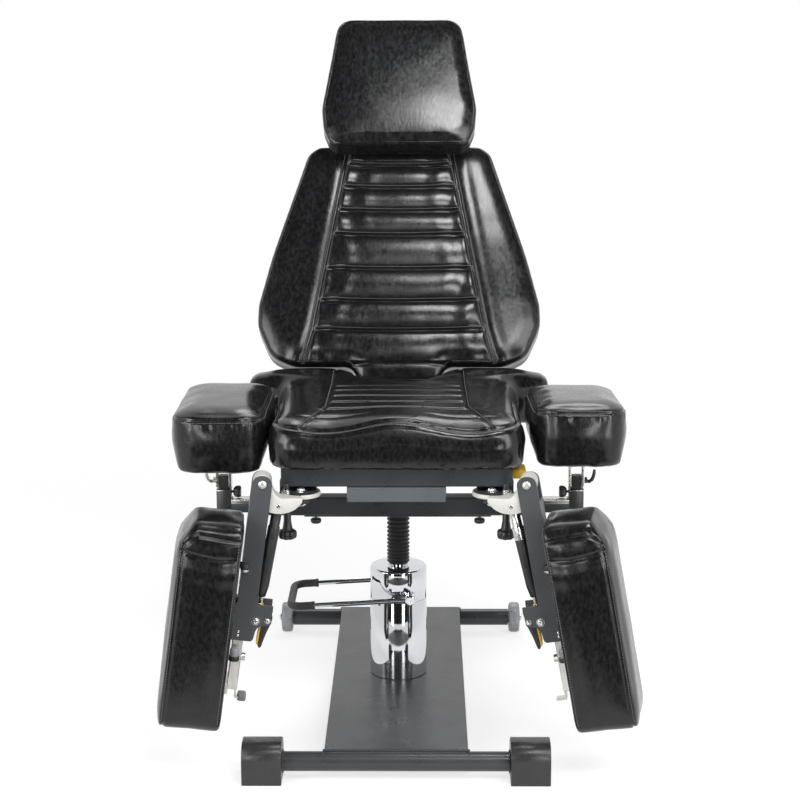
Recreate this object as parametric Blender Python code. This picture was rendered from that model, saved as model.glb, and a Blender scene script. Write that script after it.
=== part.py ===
"""Hydraulic tattoo chair: pump base with foot pedal, swivelling seat, reclining
backrest with headrest, two sliding armrests and two swing-out leg rests.

Metres, +Z up, -Y towards the sitter's feet, floor at z = 0.  Everything is drawn
about the pump axis and hangs from one empty that sets the middle of the object.
"""
import bpy
import bmesh
from math import atan2, cos, hypot, pi, radians, sin
from mathutils import Matrix, Vector

GAP = 0.0003                # clearance between pieces that touch
SLIDE_FIT = 0.0005          # clearance on each side of a sliding piece
PUMP_Y = -0.031             # pump axis from the middle of the object

# Base
PLATE_W = 0.261
PLATE_LAP = 0.002           # plate past the middle of each tube
PLATE_T = 0.005
TUBE_R = 0.018
TUBE_WALL = 0.0025
FRONT_TUBE_Y = -0.403
REAR_TUBE_Y = 0.395
REAR_TUBE_HALF = 0.2383
FOOT_OUT = 0.2783
FOOT_W = 0.072
FOOT_D = 0.075
FOOT_H = 0.075
FOOT_ROUND = 0.030
FOOT_SOCKET = 0.056
AXLE_R = 0.005
AXLE_HEAD_R = 0.009
AXLE_HEAD_T = 0.005
WHEEL_R = 0.033
WHEEL_W = 0.025
WHEEL_SIDE = 0.001          # side play of a wheel

# Pump
PUMP_R = 0.0565
PUMP_TOP = 0.279
CAP_SEAM = 0.215
COLLAR_R = 0.0200
COLLAR_H = 0.0055
RAM_R = 0.0165
RAM_BOTTOM = 0.115
BELLOWS_R = 0.0225
BELLOWS_GROOVE = 0.0034
BELLOWS_RIBS = 24
PEDAL_X = 0.024
PEDAL_Z = 0.2285
PEDAL_HALF = 0.0720         # half distance between the two pedal rods
PEDAL_REACH = 0.236
PEDAL_BEND = 0.022
PEDAL_ROD_R = 0.005
PEDAL_DROP = radians(3.4)
GRIP_R = 0.0078
GRIP_BACK = 0.188
PIVOT_R = 0.005
BOSS_R = 0.0105
EYE_R = 0.010

# Seat carrier and frame
HEAD_R = 0.058
HEAD_T = 0.010
HEAD_BOSS_R = 0.030
HEAD_BOSS_H = 0.0200
CARRIER_W = 0.183
CARRIER_FRONT = -0.252
CARRIER_BACK = 0.165
CARRIER_Z = 0.4769
CARRIER_WALL = 0.004
FRAME_Z = 0.506
FRAME_TOP = 0.542
FRAME_HALF = 0.2125
FRAME_FRONT = -0.25
FRAME_BACK = 0.195
FRAME_RAIL = 0.048
CROSS = 0.036               # arm cross tube, square
CROSS_WALL = 0.0035
CROSS_HALF = 0.25
CROSS_Y = -0.082
CROSS_Z = 0.426
STRIP_HALF = 0.18
STRIP_T = 0.003

# Seat cushion
SEAT_T = 0.080
SEAT_CROWN = 0.012
SEAT_FRONT = -0.285
SEAT_HALF = 0.2335
SEAT_WING = 0.307
SEAT_BACK = 0.200
SEAT_NOTCH = 0.140
SEAT_RISE = 0.011           # the back of the seat stands higher than the front
SEAT_DIP = 0.022            # hollow that the backrest's tongue reaches into

# Backrest and headrest
RECLINE = radians(30)
FACE_Y = 0.160              # a point on the front face of the backrest
FACE_Z = 0.660
HINGE_Y = 0.212
HINGE_Z = 0.530
HINGE_PIN_R = 0.006
BACK_T = 0.070
BACK_CROWN = 0.008
BACK_TOP = 0.485
TONGUE = 0.045              # how far the middle of the backrest reaches down
BACK_PLATE_T = 0.006
BACK_PLATE_HALF = 0.10
BACK_PLATE_LOW = 0.03
BACK_PLATE_TOP = 0.44
CHANNEL_HALF = 0.185        # half length of a sewn channel at the foot of the backrest
CHANNEL_TAPER = 0.175
BACK_ARM_X = 0.085
BACK_ARM_T = 0.006
LUG_T = 0.008
HEAD_STAND = 0.0108         # back of the headrest in front of the backrest face
HEADREST_T = 0.0642
HEADREST_BOTTOM = 0.451
HEADREST_H = 0.2935
POST_W = 0.042
POST_T = 0.006
POST_LOW = 0.265            # lower end of the post, up the face
POST_BEND = 0.507           # where the post comes forward over the backrest

# Armrests
ARM_X = 0.335
ARM_SET = {"left": 0.0, "right": 0.009}    # how far each arm is pulled out
ARM_PAD_X = 0.327
ARM_PAD_W = 0.174
ARM_PAD_FRONT = -0.262
ARM_PAD_BACK = 0.038
ARM_PAD_Z = 0.530
ARM_PAD_T = 0.109
ARM_PAD_CROWN = 0.007
SLIDER = 0.0265
SLIDER_IN = 0.06
SOCKET = 0.028
SOCKET_BORE = 0.0205
SOCKET_Z = 0.358
SOCKET_TOP = 0.4584
TILT_Z = 0.4745
YOKE_W = 0.030
YOKE_LEG = 0.0052
YOKE_D = 0.024
ARM_TILT = {"left": 0.0, "right": radians(4)}

# Leg rests, drawn in the plane of each leg: outward from the hinge, up, and inward
SWING_X = 0.1747
SWING_Y = -0.262
SWING = {"left": radians(84.5), "right": radians(79.5)}
HANG = {"left": radians(8), "right": radians(10.5)}
DISC_R = 0.036
DISC_T = 0.008
DISC_Z = 0.494
LUG_PLATE_Z = 0.480
LEG_REACH = 0.071           # swing axis to leg hinge
LEG_Z = 0.5305
LEG_IN = 0.035              # leg plane, inward of the swing axis
CHEEK_W = 0.036
CHEEK_SLOT = 0.025
BARREL_R = 0.0165
SPRING_U = -0.0285          # upper gas spring pivot from the leg hinge
SPRING_W = -0.0425
SPRING_PIN_R = 0.004
SPRING_L = 0.233            # lower end of the gas spring, along and across the leg
SPRING_Q = -0.023
SPRING_R = 0.011
NECK_R = 0.0095             # slimmer upper end of the gas spring
NECK_L = 0.042
TUBE_L = 0.177              # gas spring tube, from its upper pin to its open end
ROD_R = 0.005
BAR_W = 0.036
BAR_WALL = 0.004
BAR_L = 0.222
LOWER_L = 0.297
BOLT_R = 0.005
LEVER_L = 0.2545
LEVER_Q = -0.0404
LEVER_EAR = 0.0055          # metal beyond the release lever's pin
LOWER_Q = 0.0236            # outer edge of the lower bracket across the leg
GUIDE_L = 0.237
WEB_L = 0.190
RAIL_OUT = 0.0185           # outer face of the slide rail across the leg
RAIL_T = 0.0195
RAIL_W = 0.024
RAIL_TOP = 0.200
RAIL_END = 0.397
TAB_L = 0.016               # stop tab at the foot of the rail
SHOE_TOP = 0.318            # plate that carries the pad
SHOE_END = 0.392
BUMPER_R = 0.006
BUMPER_L = 0.160
PAD_Q = 0.0240
PAD_T = 0.109
PAD_CROWN = 0.007
PAD_TOP = 0.054
PAD_END = 0.451
PAD_W = 0.145

SIDES = (("left", -1), ("right", 1))

for item in list(bpy.data.objects):
    bpy.data.objects.remove(item, do_unlink=True)

PARTS = bpy.data.collections.new("tattoo_chair")
CUTTERS = bpy.data.collections.new("cutters")
bpy.context.scene.collection.children.link(PARTS)
bpy.context.scene.collection.children.link(CUTTERS)

FINISH = {
    "paint": ((0.045, 0.047, 0.052), 0.45, 0.3),
    "panel": ((0.088, 0.096, 0.104), 0.45, 0.3),
    "chrome": ((0.80, 0.80, 0.82), 0.08, 1.0),
    "steel": ((0.62, 0.61, 0.58), 0.28, 1.0),
    "ivory": ((0.64, 0.64, 0.59), 0.40, 0.2),
    "rubber": ((0.016, 0.016, 0.017), 0.55, 0.0),
    "plastic": ((0.020, 0.020, 0.021), 0.38, 0.0),
    "leather": ((0.008, 0.008, 0.009), 0.22, 0.0),
    "yellow": ((0.70, 0.42, 0.02), 0.45, 0.0),
    "wheel": ((0.24, 0.25, 0.26), 0.40, 0.0),
}


def finish(name, kind):
    colour, rough, metal = FINISH[kind]
    made = bpy.data.materials.new(name + "_finish")
    made.use_nodes = True
    shader = made.node_tree.nodes["Principled BSDF"]
    shader.inputs["Base Color"].default_value = (*colour, 1.0)
    shader.inputs["Roughness"].default_value = rough
    shader.inputs["Metallic"].default_value = metal
    return made


def empty(name, parent, location, rotation=(0, 0, 0)):
    made = bpy.data.objects.new(name, None)
    PARTS.objects.link(made)
    made.parent = parent
    made.location = location
    made.rotation_euler = rotation
    return made


def solid(name, bm, kind, parent, smooth=True):
    bmesh.ops.recalc_face_normals(bm, faces=bm.faces)
    mesh = bpy.data.meshes.new(name)
    bm.to_mesh(mesh)
    bm.free()
    made = bpy.data.objects.new(name, mesh)
    PARTS.objects.link(made)
    made.parent = parent
    mesh.materials.append(finish(name, kind))
    if smooth:
        mesh.set_sharp_from_angle(angle=radians(35))
        for face in mesh.polygons:
            face.use_smooth = True
    return made


def combine(target, bm, operation):
    """Adds a shape to a piece or takes it away."""
    bmesh.ops.recalc_face_normals(bm, faces=bm.faces)
    name = "%s_%s_%d" % (target.name, operation.lower(), len(target.modifiers))
    mesh = bpy.data.meshes.new(name)
    bm.to_mesh(mesh)
    bm.free()
    tool = bpy.data.objects.new(name, mesh)
    CUTTERS.objects.link(tool)
    tool.parent = target.parent
    tool.hide_render = True
    tool.display_type = "WIRE"
    step = target.modifiers.new(name, "BOOLEAN")
    step.operation = operation
    step.solver = "EXACT"
    step.object = tool


def cut(target, bm):
    combine(target, bm, "DIFFERENCE")


def join(target, bm):
    combine(target, bm, "UNION")


def box(low, high, bm=None):
    bm = bm or bmesh.new()
    size = [b - a for a, b in zip(low, high)]
    middle = [(a + b) / 2 for a, b in zip(low, high)]
    bmesh.ops.create_cube(bm, size=1.0, matrix=Matrix.Translation(middle) @ Matrix.Diagonal((*size, 1)))
    return bm


def edged(low, high, width):
    """A box with its long edges broken."""
    bm = box(low, high)
    bmesh.ops.bevel(bm, geom=bm.edges[:], offset=width, segments=1, affect="EDGES")
    return bm


AXES = {
    "x": lambda r, s, h: Vector((h, r, s)),
    "y": lambda r, s, h: Vector((s, h, r)),
    "z": lambda r, s, h: Vector((r, s, h)),
}


def lathe(profile, steps, axis="z", at=(0, 0, 0), loop=False, lobes=0, lobe_rows=()):
    """Turns (radius, height) rows about an axis.  A loop profile makes a ring."""
    bm = bmesh.new()
    rows = []
    for index, (radius, height) in enumerate(profile):
        row = []
        count = 1 if radius < 1e-7 else steps
        for k in range(count):
            angle = 2 * pi * k / steps
            reach = radius
            if index in lobe_rows:
                reach = radius * (1 + 0.07 * cos(lobes * angle))
            point = AXES[axis](reach * cos(angle), reach * sin(angle), height)
            row.append(bm.verts.new(point + Vector(at)))
        rows.append(row)
    pairs = list(zip(rows, rows[1:]))
    if loop:
        pairs.append((rows[-1], rows[0]))
    for upper, lower in pairs:
        for k in range(steps):
            a = upper[k % len(upper)]
            b = upper[(k + 1) % len(upper)]
            c = lower[(k + 1) % len(lower)]
            d = lower[k % len(lower)]
            corners = [v for n, v in enumerate((a, b, c, d)) if v not in (a, b, c, d)[:n]]
            if len(corners) > 2:
                bm.faces.new(corners)
    return bm


def rod(radius, start, end, axis, at, steps=16):
    return lathe([(0, end), (radius, end), (radius, start), (0, start)], steps, axis, at)


def ring(outer, inner, start, end, axis, at=(0, 0, 0), steps=20):
    rows = [(inner, end), (outer, end), (outer, start), (inner, start)]
    return lathe(rows, steps, axis, at, loop=True)


def prism(outline, start, end, place):
    """Raises a flat outline; place turns (a, b, height) into a point."""
    bm = bmesh.new()
    low = [bm.verts.new(place(a, b, start)) for a, b in outline]
    high = [bm.verts.new(place(a, b, end)) for a, b in outline]
    bm.faces.new(low)
    bm.faces.new(high)
    count = len(outline)
    for k in range(count):
        n = (k + 1) % count
        bm.faces.new((low[k], low[n], high[n], high[k]))
    return bm


def pipe(path, outer, steps, inner=0.0):
    """A round bar or a sleeve along a path of points."""
    bm = bmesh.new()
    points = [Vector(p) for p in path]
    rows = []
    side = Vector((0, 0, 1))
    for k, point in enumerate(points):
        before = (point - points[k - 1]).normalized() if k else None
        after = (points[k + 1] - point).normalized() if k < len(points) - 1 else None
        along = (before or after) + (after or before)
        along.normalize()
        stretch = 1.0 / max(0.3, along.dot(after or before))
        across = along.cross(side).normalized()
        row = []
        for radius in (outer, inner) if inner else (outer,):
            for j in range(steps):
                angle = 2 * pi * j / steps
                spot = point + across * (radius * stretch * cos(angle)) + side * (radius * sin(angle))
                row.append(bm.verts.new(spot))
        rows.append(row)
    for upper, lower in zip(rows, rows[1:]):
        for shift in range(0, len(upper), steps):
            for j in range(steps):
                n = (j + 1) % steps
                bm.faces.new((upper[shift + j], upper[shift + n], lower[shift + n], lower[shift + j]))
    for row in (rows[0], rows[-1]):
        if inner:
            for j in range(steps):
                n = (j + 1) % steps
                bm.faces.new((row[j], row[n], row[steps + n], row[steps + j]))
        else:
            bm.faces.new(row)
    return bm


def rounded(corners, steps=4):
    """A closed outline through (a, b, radius) corners, each corner rounded."""
    out = []
    count = len(corners)
    for k, (a, b, radius) in enumerate(corners):
        here = Vector((a, b))
        if radius <= 0:
            out.append((a, b))
            continue
        to_last = (Vector(corners[k - 1][:2]) - here).normalized()
        to_next = (Vector(corners[(k + 1) % count][:2]) - here).normalized()
        bisect = (to_last + to_next).normalized()
        half = to_last.angle(to_next) / 2
        centre = here + bisect * (radius / sin(half))
        first = here + to_last * (radius * cos(half) / sin(half)) - centre
        last = here + to_next * (radius * cos(half) / sin(half)) - centre
        start = atan2(first.y, first.x)
        sweep = atan2(last.y, last.x) - start
        sweep = (sweep + pi) % (2 * pi) - pi
        for n in range(steps + 1):
            angle = start + sweep * n / steps
            out.append((centre.x + radius * cos(angle), centre.y + radius * sin(angle)))
    return out


def mirrored(half):
    """Both halves of an outline given from one end of its middle line to the other."""
    return half + [(-a, b, r) for a, b, r in reversed(half)]


def inset(outline, distance):
    area = sum(a[0] * b[1] - b[0] * a[1] for a, b in zip(outline, outline[1:] + outline[:1]))
    turn = 1 if area > 0 else -1
    out = []
    count = len(outline)
    for k in range(count):
        here = Vector(outline[k])
        one = (here - Vector(outline[k - 1])).normalized()
        two = (Vector(outline[(k + 1) % count]) - here).normalized()
        normal = Vector((-one.y - two.y, one.x + two.x)).normalized() * turn
        lean = max(0.5, normal.dot(Vector((-one.y, one.x)) * turn))
        out.append(tuple(here + normal * (distance / lean)))
    return out


def cushion(outline, thick, crown, place, lift=None):
    """A stuffed pad: welted edges, sides drawn in between the seams, crowned top."""
    centre = [sum(p[n] for p in outline) / len(outline) for n in (0, 1)]
    edge = inset(outline, 0.009)
    rows = [
        (inset(outline, 0.008), 0.0, 0),
        (inset(outline, 0.001), 0.008, 0),
        (inset(outline, 0.004), thick * 0.5, 0.4),
        (outline, thick - 0.016, 1),
        (inset(outline, 0.003), thick - 0.006, 1),
        (edge, thick, 1),
    ]
    for scale, rise in ((0.80, 0.65), (0.45, 1.0)):
        shrunk = [tuple(c + (p - c) * scale for p, c in zip(point, centre)) for point in edge]
        rows.append((shrunk, thick + crown * rise, 1))
    bm = bmesh.new()
    made = []
    for points, height, share in rows:
        row = []
        for a, b in points:
            extra = lift(a, b) * share if lift else 0.0
            row.append(bm.verts.new(place(a, b, height + extra)))
        made.append(row)
    count = len(outline)
    for low, high in zip(made, made[1:]):
        for k in range(count):
            n = (k + 1) % count
            bm.faces.new((low[k], low[n], high[n], high[k]))
    bm.faces.new(made[0])
    bm.faces.new(made[-1])
    return bm


def smooth_step(value, low, high):
    t = min(1.0, max(0.0, (value - low) / (high - low)))
    return t * t * (3 - 2 * t)


origin = empty("chair_origin", None, (0, PUMP_Y, 0))

# Base: a floor plate on two round tubes, block feet in front and wheels behind
TUBE_Z = WHEEL_R
plate_z = TUBE_Z + TUBE_R + GAP
plate_front = FRONT_TUBE_Y - PLATE_LAP
plate_back = REAR_TUBE_Y + PLATE_LAP
plate_top = plate_z + PLATE_T
solid("base_plate", edged((-PLATE_W / 2, plate_front, plate_z), (PLATE_W / 2, plate_back, plate_top), 0.001),
      "paint", origin, False)

foot_in = FOOT_OUT - FOOT_W
tube_end = foot_in + FOOT_SOCKET - GAP
solid("front_tube", ring(TUBE_R, TUBE_R - TUBE_WALL, -tube_end, tube_end, "x", (0, FRONT_TUBE_Y, TUBE_Z)),
      "paint", origin)
rear_at = (0, REAR_TUBE_Y, WHEEL_R)
solid("rear_tube", ring(TUBE_R, AXLE_R + GAP, -REAR_TUBE_HALF, REAR_TUBE_HALF, "x", rear_at), "paint", origin)

foot_line = rounded([(-FOOT_D / 2, 0, 0.003), (FOOT_D / 2, 0, 0.003),
                     (FOOT_D / 2, FOOT_H, FOOT_ROUND), (-FOOT_D / 2, FOOT_H, FOOT_ROUND)], 5)
for side, sign in SIDES:
    foot = solid("front_foot_" + side,
                 prism(foot_line, sign * foot_in, sign * FOOT_OUT,
                       lambda a, b, h: Vector((h, FRONT_TUBE_Y + a, b))), "plastic", origin)
    ends = sorted((sign * (foot_in - 0.01), sign * (foot_in + FOOT_SOCKET)))
    cut(foot, rod(TUBE_R + GAP, ends[0], ends[1], "x", (0, FRONT_TUBE_Y, TUBE_Z), 20))

wheel_in = REAR_TUBE_HALF + WHEEL_SIDE
axle_end = wheel_in + WHEEL_W + WHEEL_SIDE
solid("rear_axle", lathe([(0, axle_end + AXLE_HEAD_T), (AXLE_HEAD_R * 0.8, axle_end + AXLE_HEAD_T),
                          (AXLE_HEAD_R, axle_end + AXLE_HEAD_T * 0.6), (AXLE_HEAD_R, axle_end),
                          (AXLE_R, axle_end), (AXLE_R, -axle_end), (AXLE_HEAD_R, -axle_end),
                          (AXLE_HEAD_R, -axle_end - AXLE_HEAD_T * 0.6),
                          (AXLE_HEAD_R * 0.8, -axle_end - AXLE_HEAD_T), (0, -axle_end - AXLE_HEAD_T)],
                         14, "x", (0, REAR_TUBE_Y, WHEEL_R)), "steel", origin)
for side, sign in SIDES:
    hub = empty("wheel_axis_" + side, origin, (sign * (wheel_in + WHEEL_W / 2), REAR_TUBE_Y, WHEEL_R))
    w = WHEEL_W / 2
    bore = AXLE_R + 2 * GAP
    tread = [(bore, w - 0.003), (0.014, w), (0.017, w - 0.004), (0.024, w - 0.004),
             (WHEEL_R - 0.004, w - 0.001), (WHEEL_R, w - 0.006), (WHEEL_R, 0.006 - w),
             (WHEEL_R - 0.004, 0.001 - w), (0.024, 0.004 - w), (0.017, 0.004 - w),
             (0.014, -w), (bore, 0.003 - w)]
    solid("wheel_" + side, lathe(tread, 20, "x", loop=True), "wheel", hub)

# Pump: chrome barrel, cap with the pedal shaft, ram and rubber bellows
pump_bottom = plate_top + GAP
ram_bore = RAM_R + 2 * GAP
solid("pump_barrel", lathe([(0, pump_bottom + 0.012), (ram_bore, pump_bottom + 0.012),
                            (ram_bore, CAP_SEAM - GAP), (PUMP_R, CAP_SEAM - GAP), (PUMP_R, pump_bottom),
                            (0, pump_bottom)], 32),
      "chrome", origin)
collar_top = PUMP_TOP + COLLAR_H
cap = solid("pump_cap", lathe([(ram_bore, collar_top), (COLLAR_R, collar_top), (COLLAR_R, PUMP_TOP),
                               (PUMP_R - 0.004, PUMP_TOP), (PUMP_R, PUMP_TOP - 0.004), (PUMP_R, CAP_SEAM),
                               (ram_bore, CAP_SEAM)], 32, loop=True), "chrome", origin)
eye_in = PEDAL_HALF - 0.005
for sign in (-1, 1):
    ends = sorted((sign * 0.042, sign * (eye_in - SLIDE_FIT)))
    join(cap, rod(BOSS_R, ends[0], ends[1], "y", (PEDAL_X, 0, PEDAL_Z)))
eye_out = PEDAL_HALF + 0.005
cut(cap, rod(PIVOT_R + GAP, -eye_out, eye_out, "y", (PEDAL_X, 0, PEDAL_Z)))
pin_end = eye_out + SLIDE_FIT
solid("pedal_pivot_pin", lathe([(0, pin_end + 0.003), (0.0085, pin_end + 0.003), (0.0085, pin_end),
                                (PIVOT_R, pin_end), (PIVOT_R, -pin_end), (0.0085, -pin_end),
                                (0.0085, -pin_end - 0.003), (0, -pin_end - 0.003)],
                               20, "y", (PEDAL_X, 0, PEDAL_Z)), "steel", origin)

pedal = empty("pedal_axis", origin, (PEDAL_X, 0, PEDAL_Z), (0, -PEDAL_DROP, 0))


def pedal_path(start):
    path = [(-start, -PEDAL_HALF, 0)]
    for n in range(7):
        angle = pi / 2 * n / 6
        path.append((-PEDAL_REACH + PEDAL_BEND * (1 - sin(angle)),
                     -PEDAL_HALF + PEDAL_BEND * (1 - cos(angle)), 0))
    return path + [(x, -y, z) for x, y, z in reversed(path)]


bar = solid("pedal_bar", pipe(pedal_path(0.0075), PEDAL_ROD_R, 10), "chrome", pedal)
for sign in (-1, 1):
    ends = sorted((sign * eye_in, sign * eye_out))
    join(bar, ring(EYE_R, PIVOT_R + 2 * GAP, ends[0], ends[1], "y", steps=20))
solid("pedal_grip", pipe(pedal_path(GRIP_BACK), GRIP_R, 10, PEDAL_ROD_R + GAP), "rubber", pedal)

ram = empty("ram_axis", origin, (0, 0, PUMP_TOP))
head_top = CARRIER_Z - GAP
head_low = head_top - HEAD_T
boss_low = head_low - HEAD_BOSS_H
rod_top = head_low + 0.0003
solid("ram_rod", rod(RAM_R, RAM_BOTTOM - PUMP_TOP, rod_top - PUMP_TOP, "z", (0, 0, 0), 24), "chrome", ram)
solid("ram_head", lathe([(0, head_top), (HEAD_R, head_top), (HEAD_R, head_low), (HEAD_BOSS_R, head_low),
                         (HEAD_BOSS_R, boss_low), (RAM_R + GAP, boss_low), (RAM_R + GAP, rod_top + GAP),
                         (0, rod_top + GAP)], 32, at=(0, 0, -PUMP_TOP)), "paint", ram)
bellows_low = collar_top + GAP
bellows_high = boss_low - GAP
rows = []
for n in range(BELLOWS_RIBS):
    pitch = (bellows_high - bellows_low) / BELLOWS_RIBS
    top = bellows_high - n * pitch
    rows.append((BELLOWS_R - BELLOWS_GROOVE, top))
    rows.append((BELLOWS_R, top - pitch / 2))
rows.append((BELLOWS_R - BELLOWS_GROOVE, bellows_low))
rows.append((RAM_R + 2 * GAP, bellows_low))
rows.append((RAM_R + 2 * GAP, bellows_high))
solid("bellows", lathe(rows, 12, loop=True), "rubber", origin)

# Seat: carrier box, frame with leg lugs and back hinge lugs, arm cross tube, cushion
seat = empty("seat_axis", ram, (0, 0, head_top - PUMP_TOP))
base_z = head_top


def seat_at(x, y, z):
    return (x, y, z - base_z)


carrier = solid("carrier_box", edged(seat_at(-CARRIER_W / 2, CARRIER_FRONT, CARRIER_Z),
                                     seat_at(CARRIER_W / 2, CARRIER_BACK, FRAME_Z - GAP), 0.0015),
                "panel", seat, False)
box_half = CARRIER_W / 2 - CARRIER_WALL
cut(carrier, box(seat_at(-box_half, CARRIER_FRONT + CARRIER_WALL, CARRIER_Z + CARRIER_WALL),
                 seat_at(box_half, CARRIER_BACK + 0.01, FRAME_Z - GAP - CARRIER_WALL)))
frame = solid("seat_frame", edged(seat_at(-FRAME_HALF, FRAME_FRONT, FRAME_Z),
                                  seat_at(FRAME_HALF, FRAME_BACK, FRAME_TOP), 0.0015), "paint", seat, False)
cut(frame, box(seat_at(-FRAME_HALF + FRAME_RAIL, FRAME_FRONT + FRAME_RAIL, FRAME_Z - 0.01),
               seat_at(FRAME_HALF - FRAME_RAIL, FRAME_BACK - FRAME_RAIL, FRAME_TOP + 0.01)))
lug_top = DISC_Z - 0.0023
knob_x = SWING_X + 0.028
knob_y = SWING_Y + 0.028
lug_back = FRAME_FRONT + FRAME_RAIL
riser = SWING_Y + DISC_R + 0.0035
for side, sign in SIDES:
    spread = sorted((sign * (SWING_X - 0.026), sign * (knob_x + 0.014)))
    step_line = [(SWING_Y + 0.006, LUG_PLATE_Z), (lug_back, LUG_PLATE_Z), (lug_back, FRAME_Z + 0.004),
                 (riser, FRAME_Z + 0.004), (riser, lug_top), (SWING_Y + 0.006, lug_top)]
    join(frame, prism(step_line, spread[0], spread[1], lambda a, b, h: Vector(seat_at(h, a, b))))
    join(frame, rod(0.0155, LUG_PLATE_Z, DISC_Z - GAP, "z", seat_at(sign * SWING_X, SWING_Y, 0)))
    cut(frame, rod(0.0043, LUG_PLATE_Z - 0.01, DISC_Z + 0.01, "z", seat_at(sign * SWING_X, SWING_Y, 0), 16))
    cut(frame, rod(0.0043, LUG_PLATE_Z - 0.01, DISC_Z + 0.01, "z", seat_at(sign * knob_x, knob_y, 0), 16))
lug_x = BACK_ARM_X + BACK_ARM_T / 2 + SLIDE_FIT
for sign in (-1, 1):
    ends = sorted((sign * lug_x, sign * (lug_x + LUG_T)))
    lug_line = rounded([(FRAME_BACK - 0.004, FRAME_Z + 0.006, 0), (HINGE_Y + 0.012, FRAME_Z + 0.006, 0.006),
                        (HINGE_Y + 0.012, FRAME_TOP - 0.001, 0.009),
                        (FRAME_BACK - 0.004, FRAME_TOP - 0.001, 0)])
    join(frame, prism(lug_line, ends[0], ends[1], lambda a, b, h: Vector(seat_at(h, a, b))))
pin_half = lug_x + LUG_T + 0.004
hinge_at = seat_at(0, HINGE_Y, HINGE_Z)
cut(frame, rod(HINGE_PIN_R + GAP, -pin_half, pin_half, "x", hinge_at))
solid("back_hinge_pin", rod(HINGE_PIN_R, -pin_half, pin_half, "x", hinge_at), "steel", seat)

cross = solid("cross_tube", edged(seat_at(-CROSS_HALF, CROSS_Y - CROSS / 2, CROSS_Z - CROSS / 2),
                                  seat_at(CROSS_HALF, CROSS_Y + CROSS / 2, CROSS_Z + CROSS / 2), 0.002),
              "paint", seat, False)
join(cross, box(seat_at(-0.05, CROSS_Y - CROSS / 2 + 0.001, CROSS_Z + CROSS / 2 - 0.001),
                seat_at(0.05, CROSS_Y + CROSS / 2 - 0.001, CARRIER_Z - GAP)))
join(cross, box(seat_at(-STRIP_HALF, CROSS_Y - CROSS / 2 + 0.003, CROSS_Z - CROSS / 2 - STRIP_T),
                seat_at(STRIP_HALF, CROSS_Y + CROSS / 2 - 0.003, CROSS_Z - CROSS / 2 + 0.001)))
bore = CROSS / 2 - CROSS_WALL
cut(cross, box(seat_at(-CROSS_HALF - 0.01, CROSS_Y - bore, CROSS_Z - bore),
               seat_at(CROSS_HALF + 0.01, CROSS_Y + bore, CROSS_Z + bore)))
clamp_x = 0.1585
for side, sign in SIDES:
    cut(cross, rod(0.0034, CROSS_Z - 0.03, CROSS_Z - 0.005, "z", seat_at(sign * clamp_x, CROSS_Y, 0), 12))

SEAT_BOTTOM = FRAME_TOP + GAP
wave = 0.009


def seat_lift(x, y):
    """The front edge rises in the middle and dips under each thigh; the back rises round a hollow."""
    front = 1 - smooth_step(y, SEAT_FRONT + 0.02, SEAT_FRONT + 0.16)
    hollow = smooth_step(y, 0.060, 0.100) * (1 - smooth_step(abs(x), 0.090, 0.116))
    rise = SEAT_RISE * smooth_step(y, 0.03, 0.15) - SEAT_DIP * hollow
    droop = 0.006 * smooth_step(abs(x), 0.17, 0.24) * (1 - smooth_step(y, 0.0, 0.1))
    return wave * front * cos(2 * pi * x / 0.27) - droop + rise


seat_line = rounded(mirrored([
    (0.235, SEAT_FRONT + 0.002, 0.050), (SEAT_HALF, 0.086, 0.024), (SEAT_WING, 0.124, 0.024),
    (SEAT_WING, 0.174, 0.020), (SEAT_WING - 0.035, SEAT_BACK, 0.024), (0.118, SEAT_BACK, 0.016),
    (0.106, SEAT_NOTCH, 0.016)]), 3)
more = []
for k, here in enumerate(seat_line):
    after = seat_line[(k + 1) % len(seat_line)]
    more.append(here)
    if here[1] < SEAT_FRONT + 0.01 and after[1] < SEAT_FRONT + 0.01 and abs(here[0] - after[0]) > 0.1:
        for n in range(1, 9):
            more.append(tuple(p + (q - p) * n / 9 for p, q in zip(here, after)))
pad = solid("seat_cushion", cushion(more, SEAT_T, SEAT_CROWN,
                                    lambda a, b, h: Vector(seat_at(a, b, SEAT_BOTTOM + h)), seat_lift),
            "leather", seat)
groove = [(-0.004, 0.004), (0.004, 0.004), (0.0, -0.003)]
for y in (-0.135, -0.085, -0.035, 0.015):
    cut(pad, prism([(y + a, b) for a, b in groove], -0.115, 0.115,
                   lambda a, b, h: Vector(seat_at(h, a, SEAT_BOTTOM + SEAT_T + SEAT_CROWN + b))))

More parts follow.
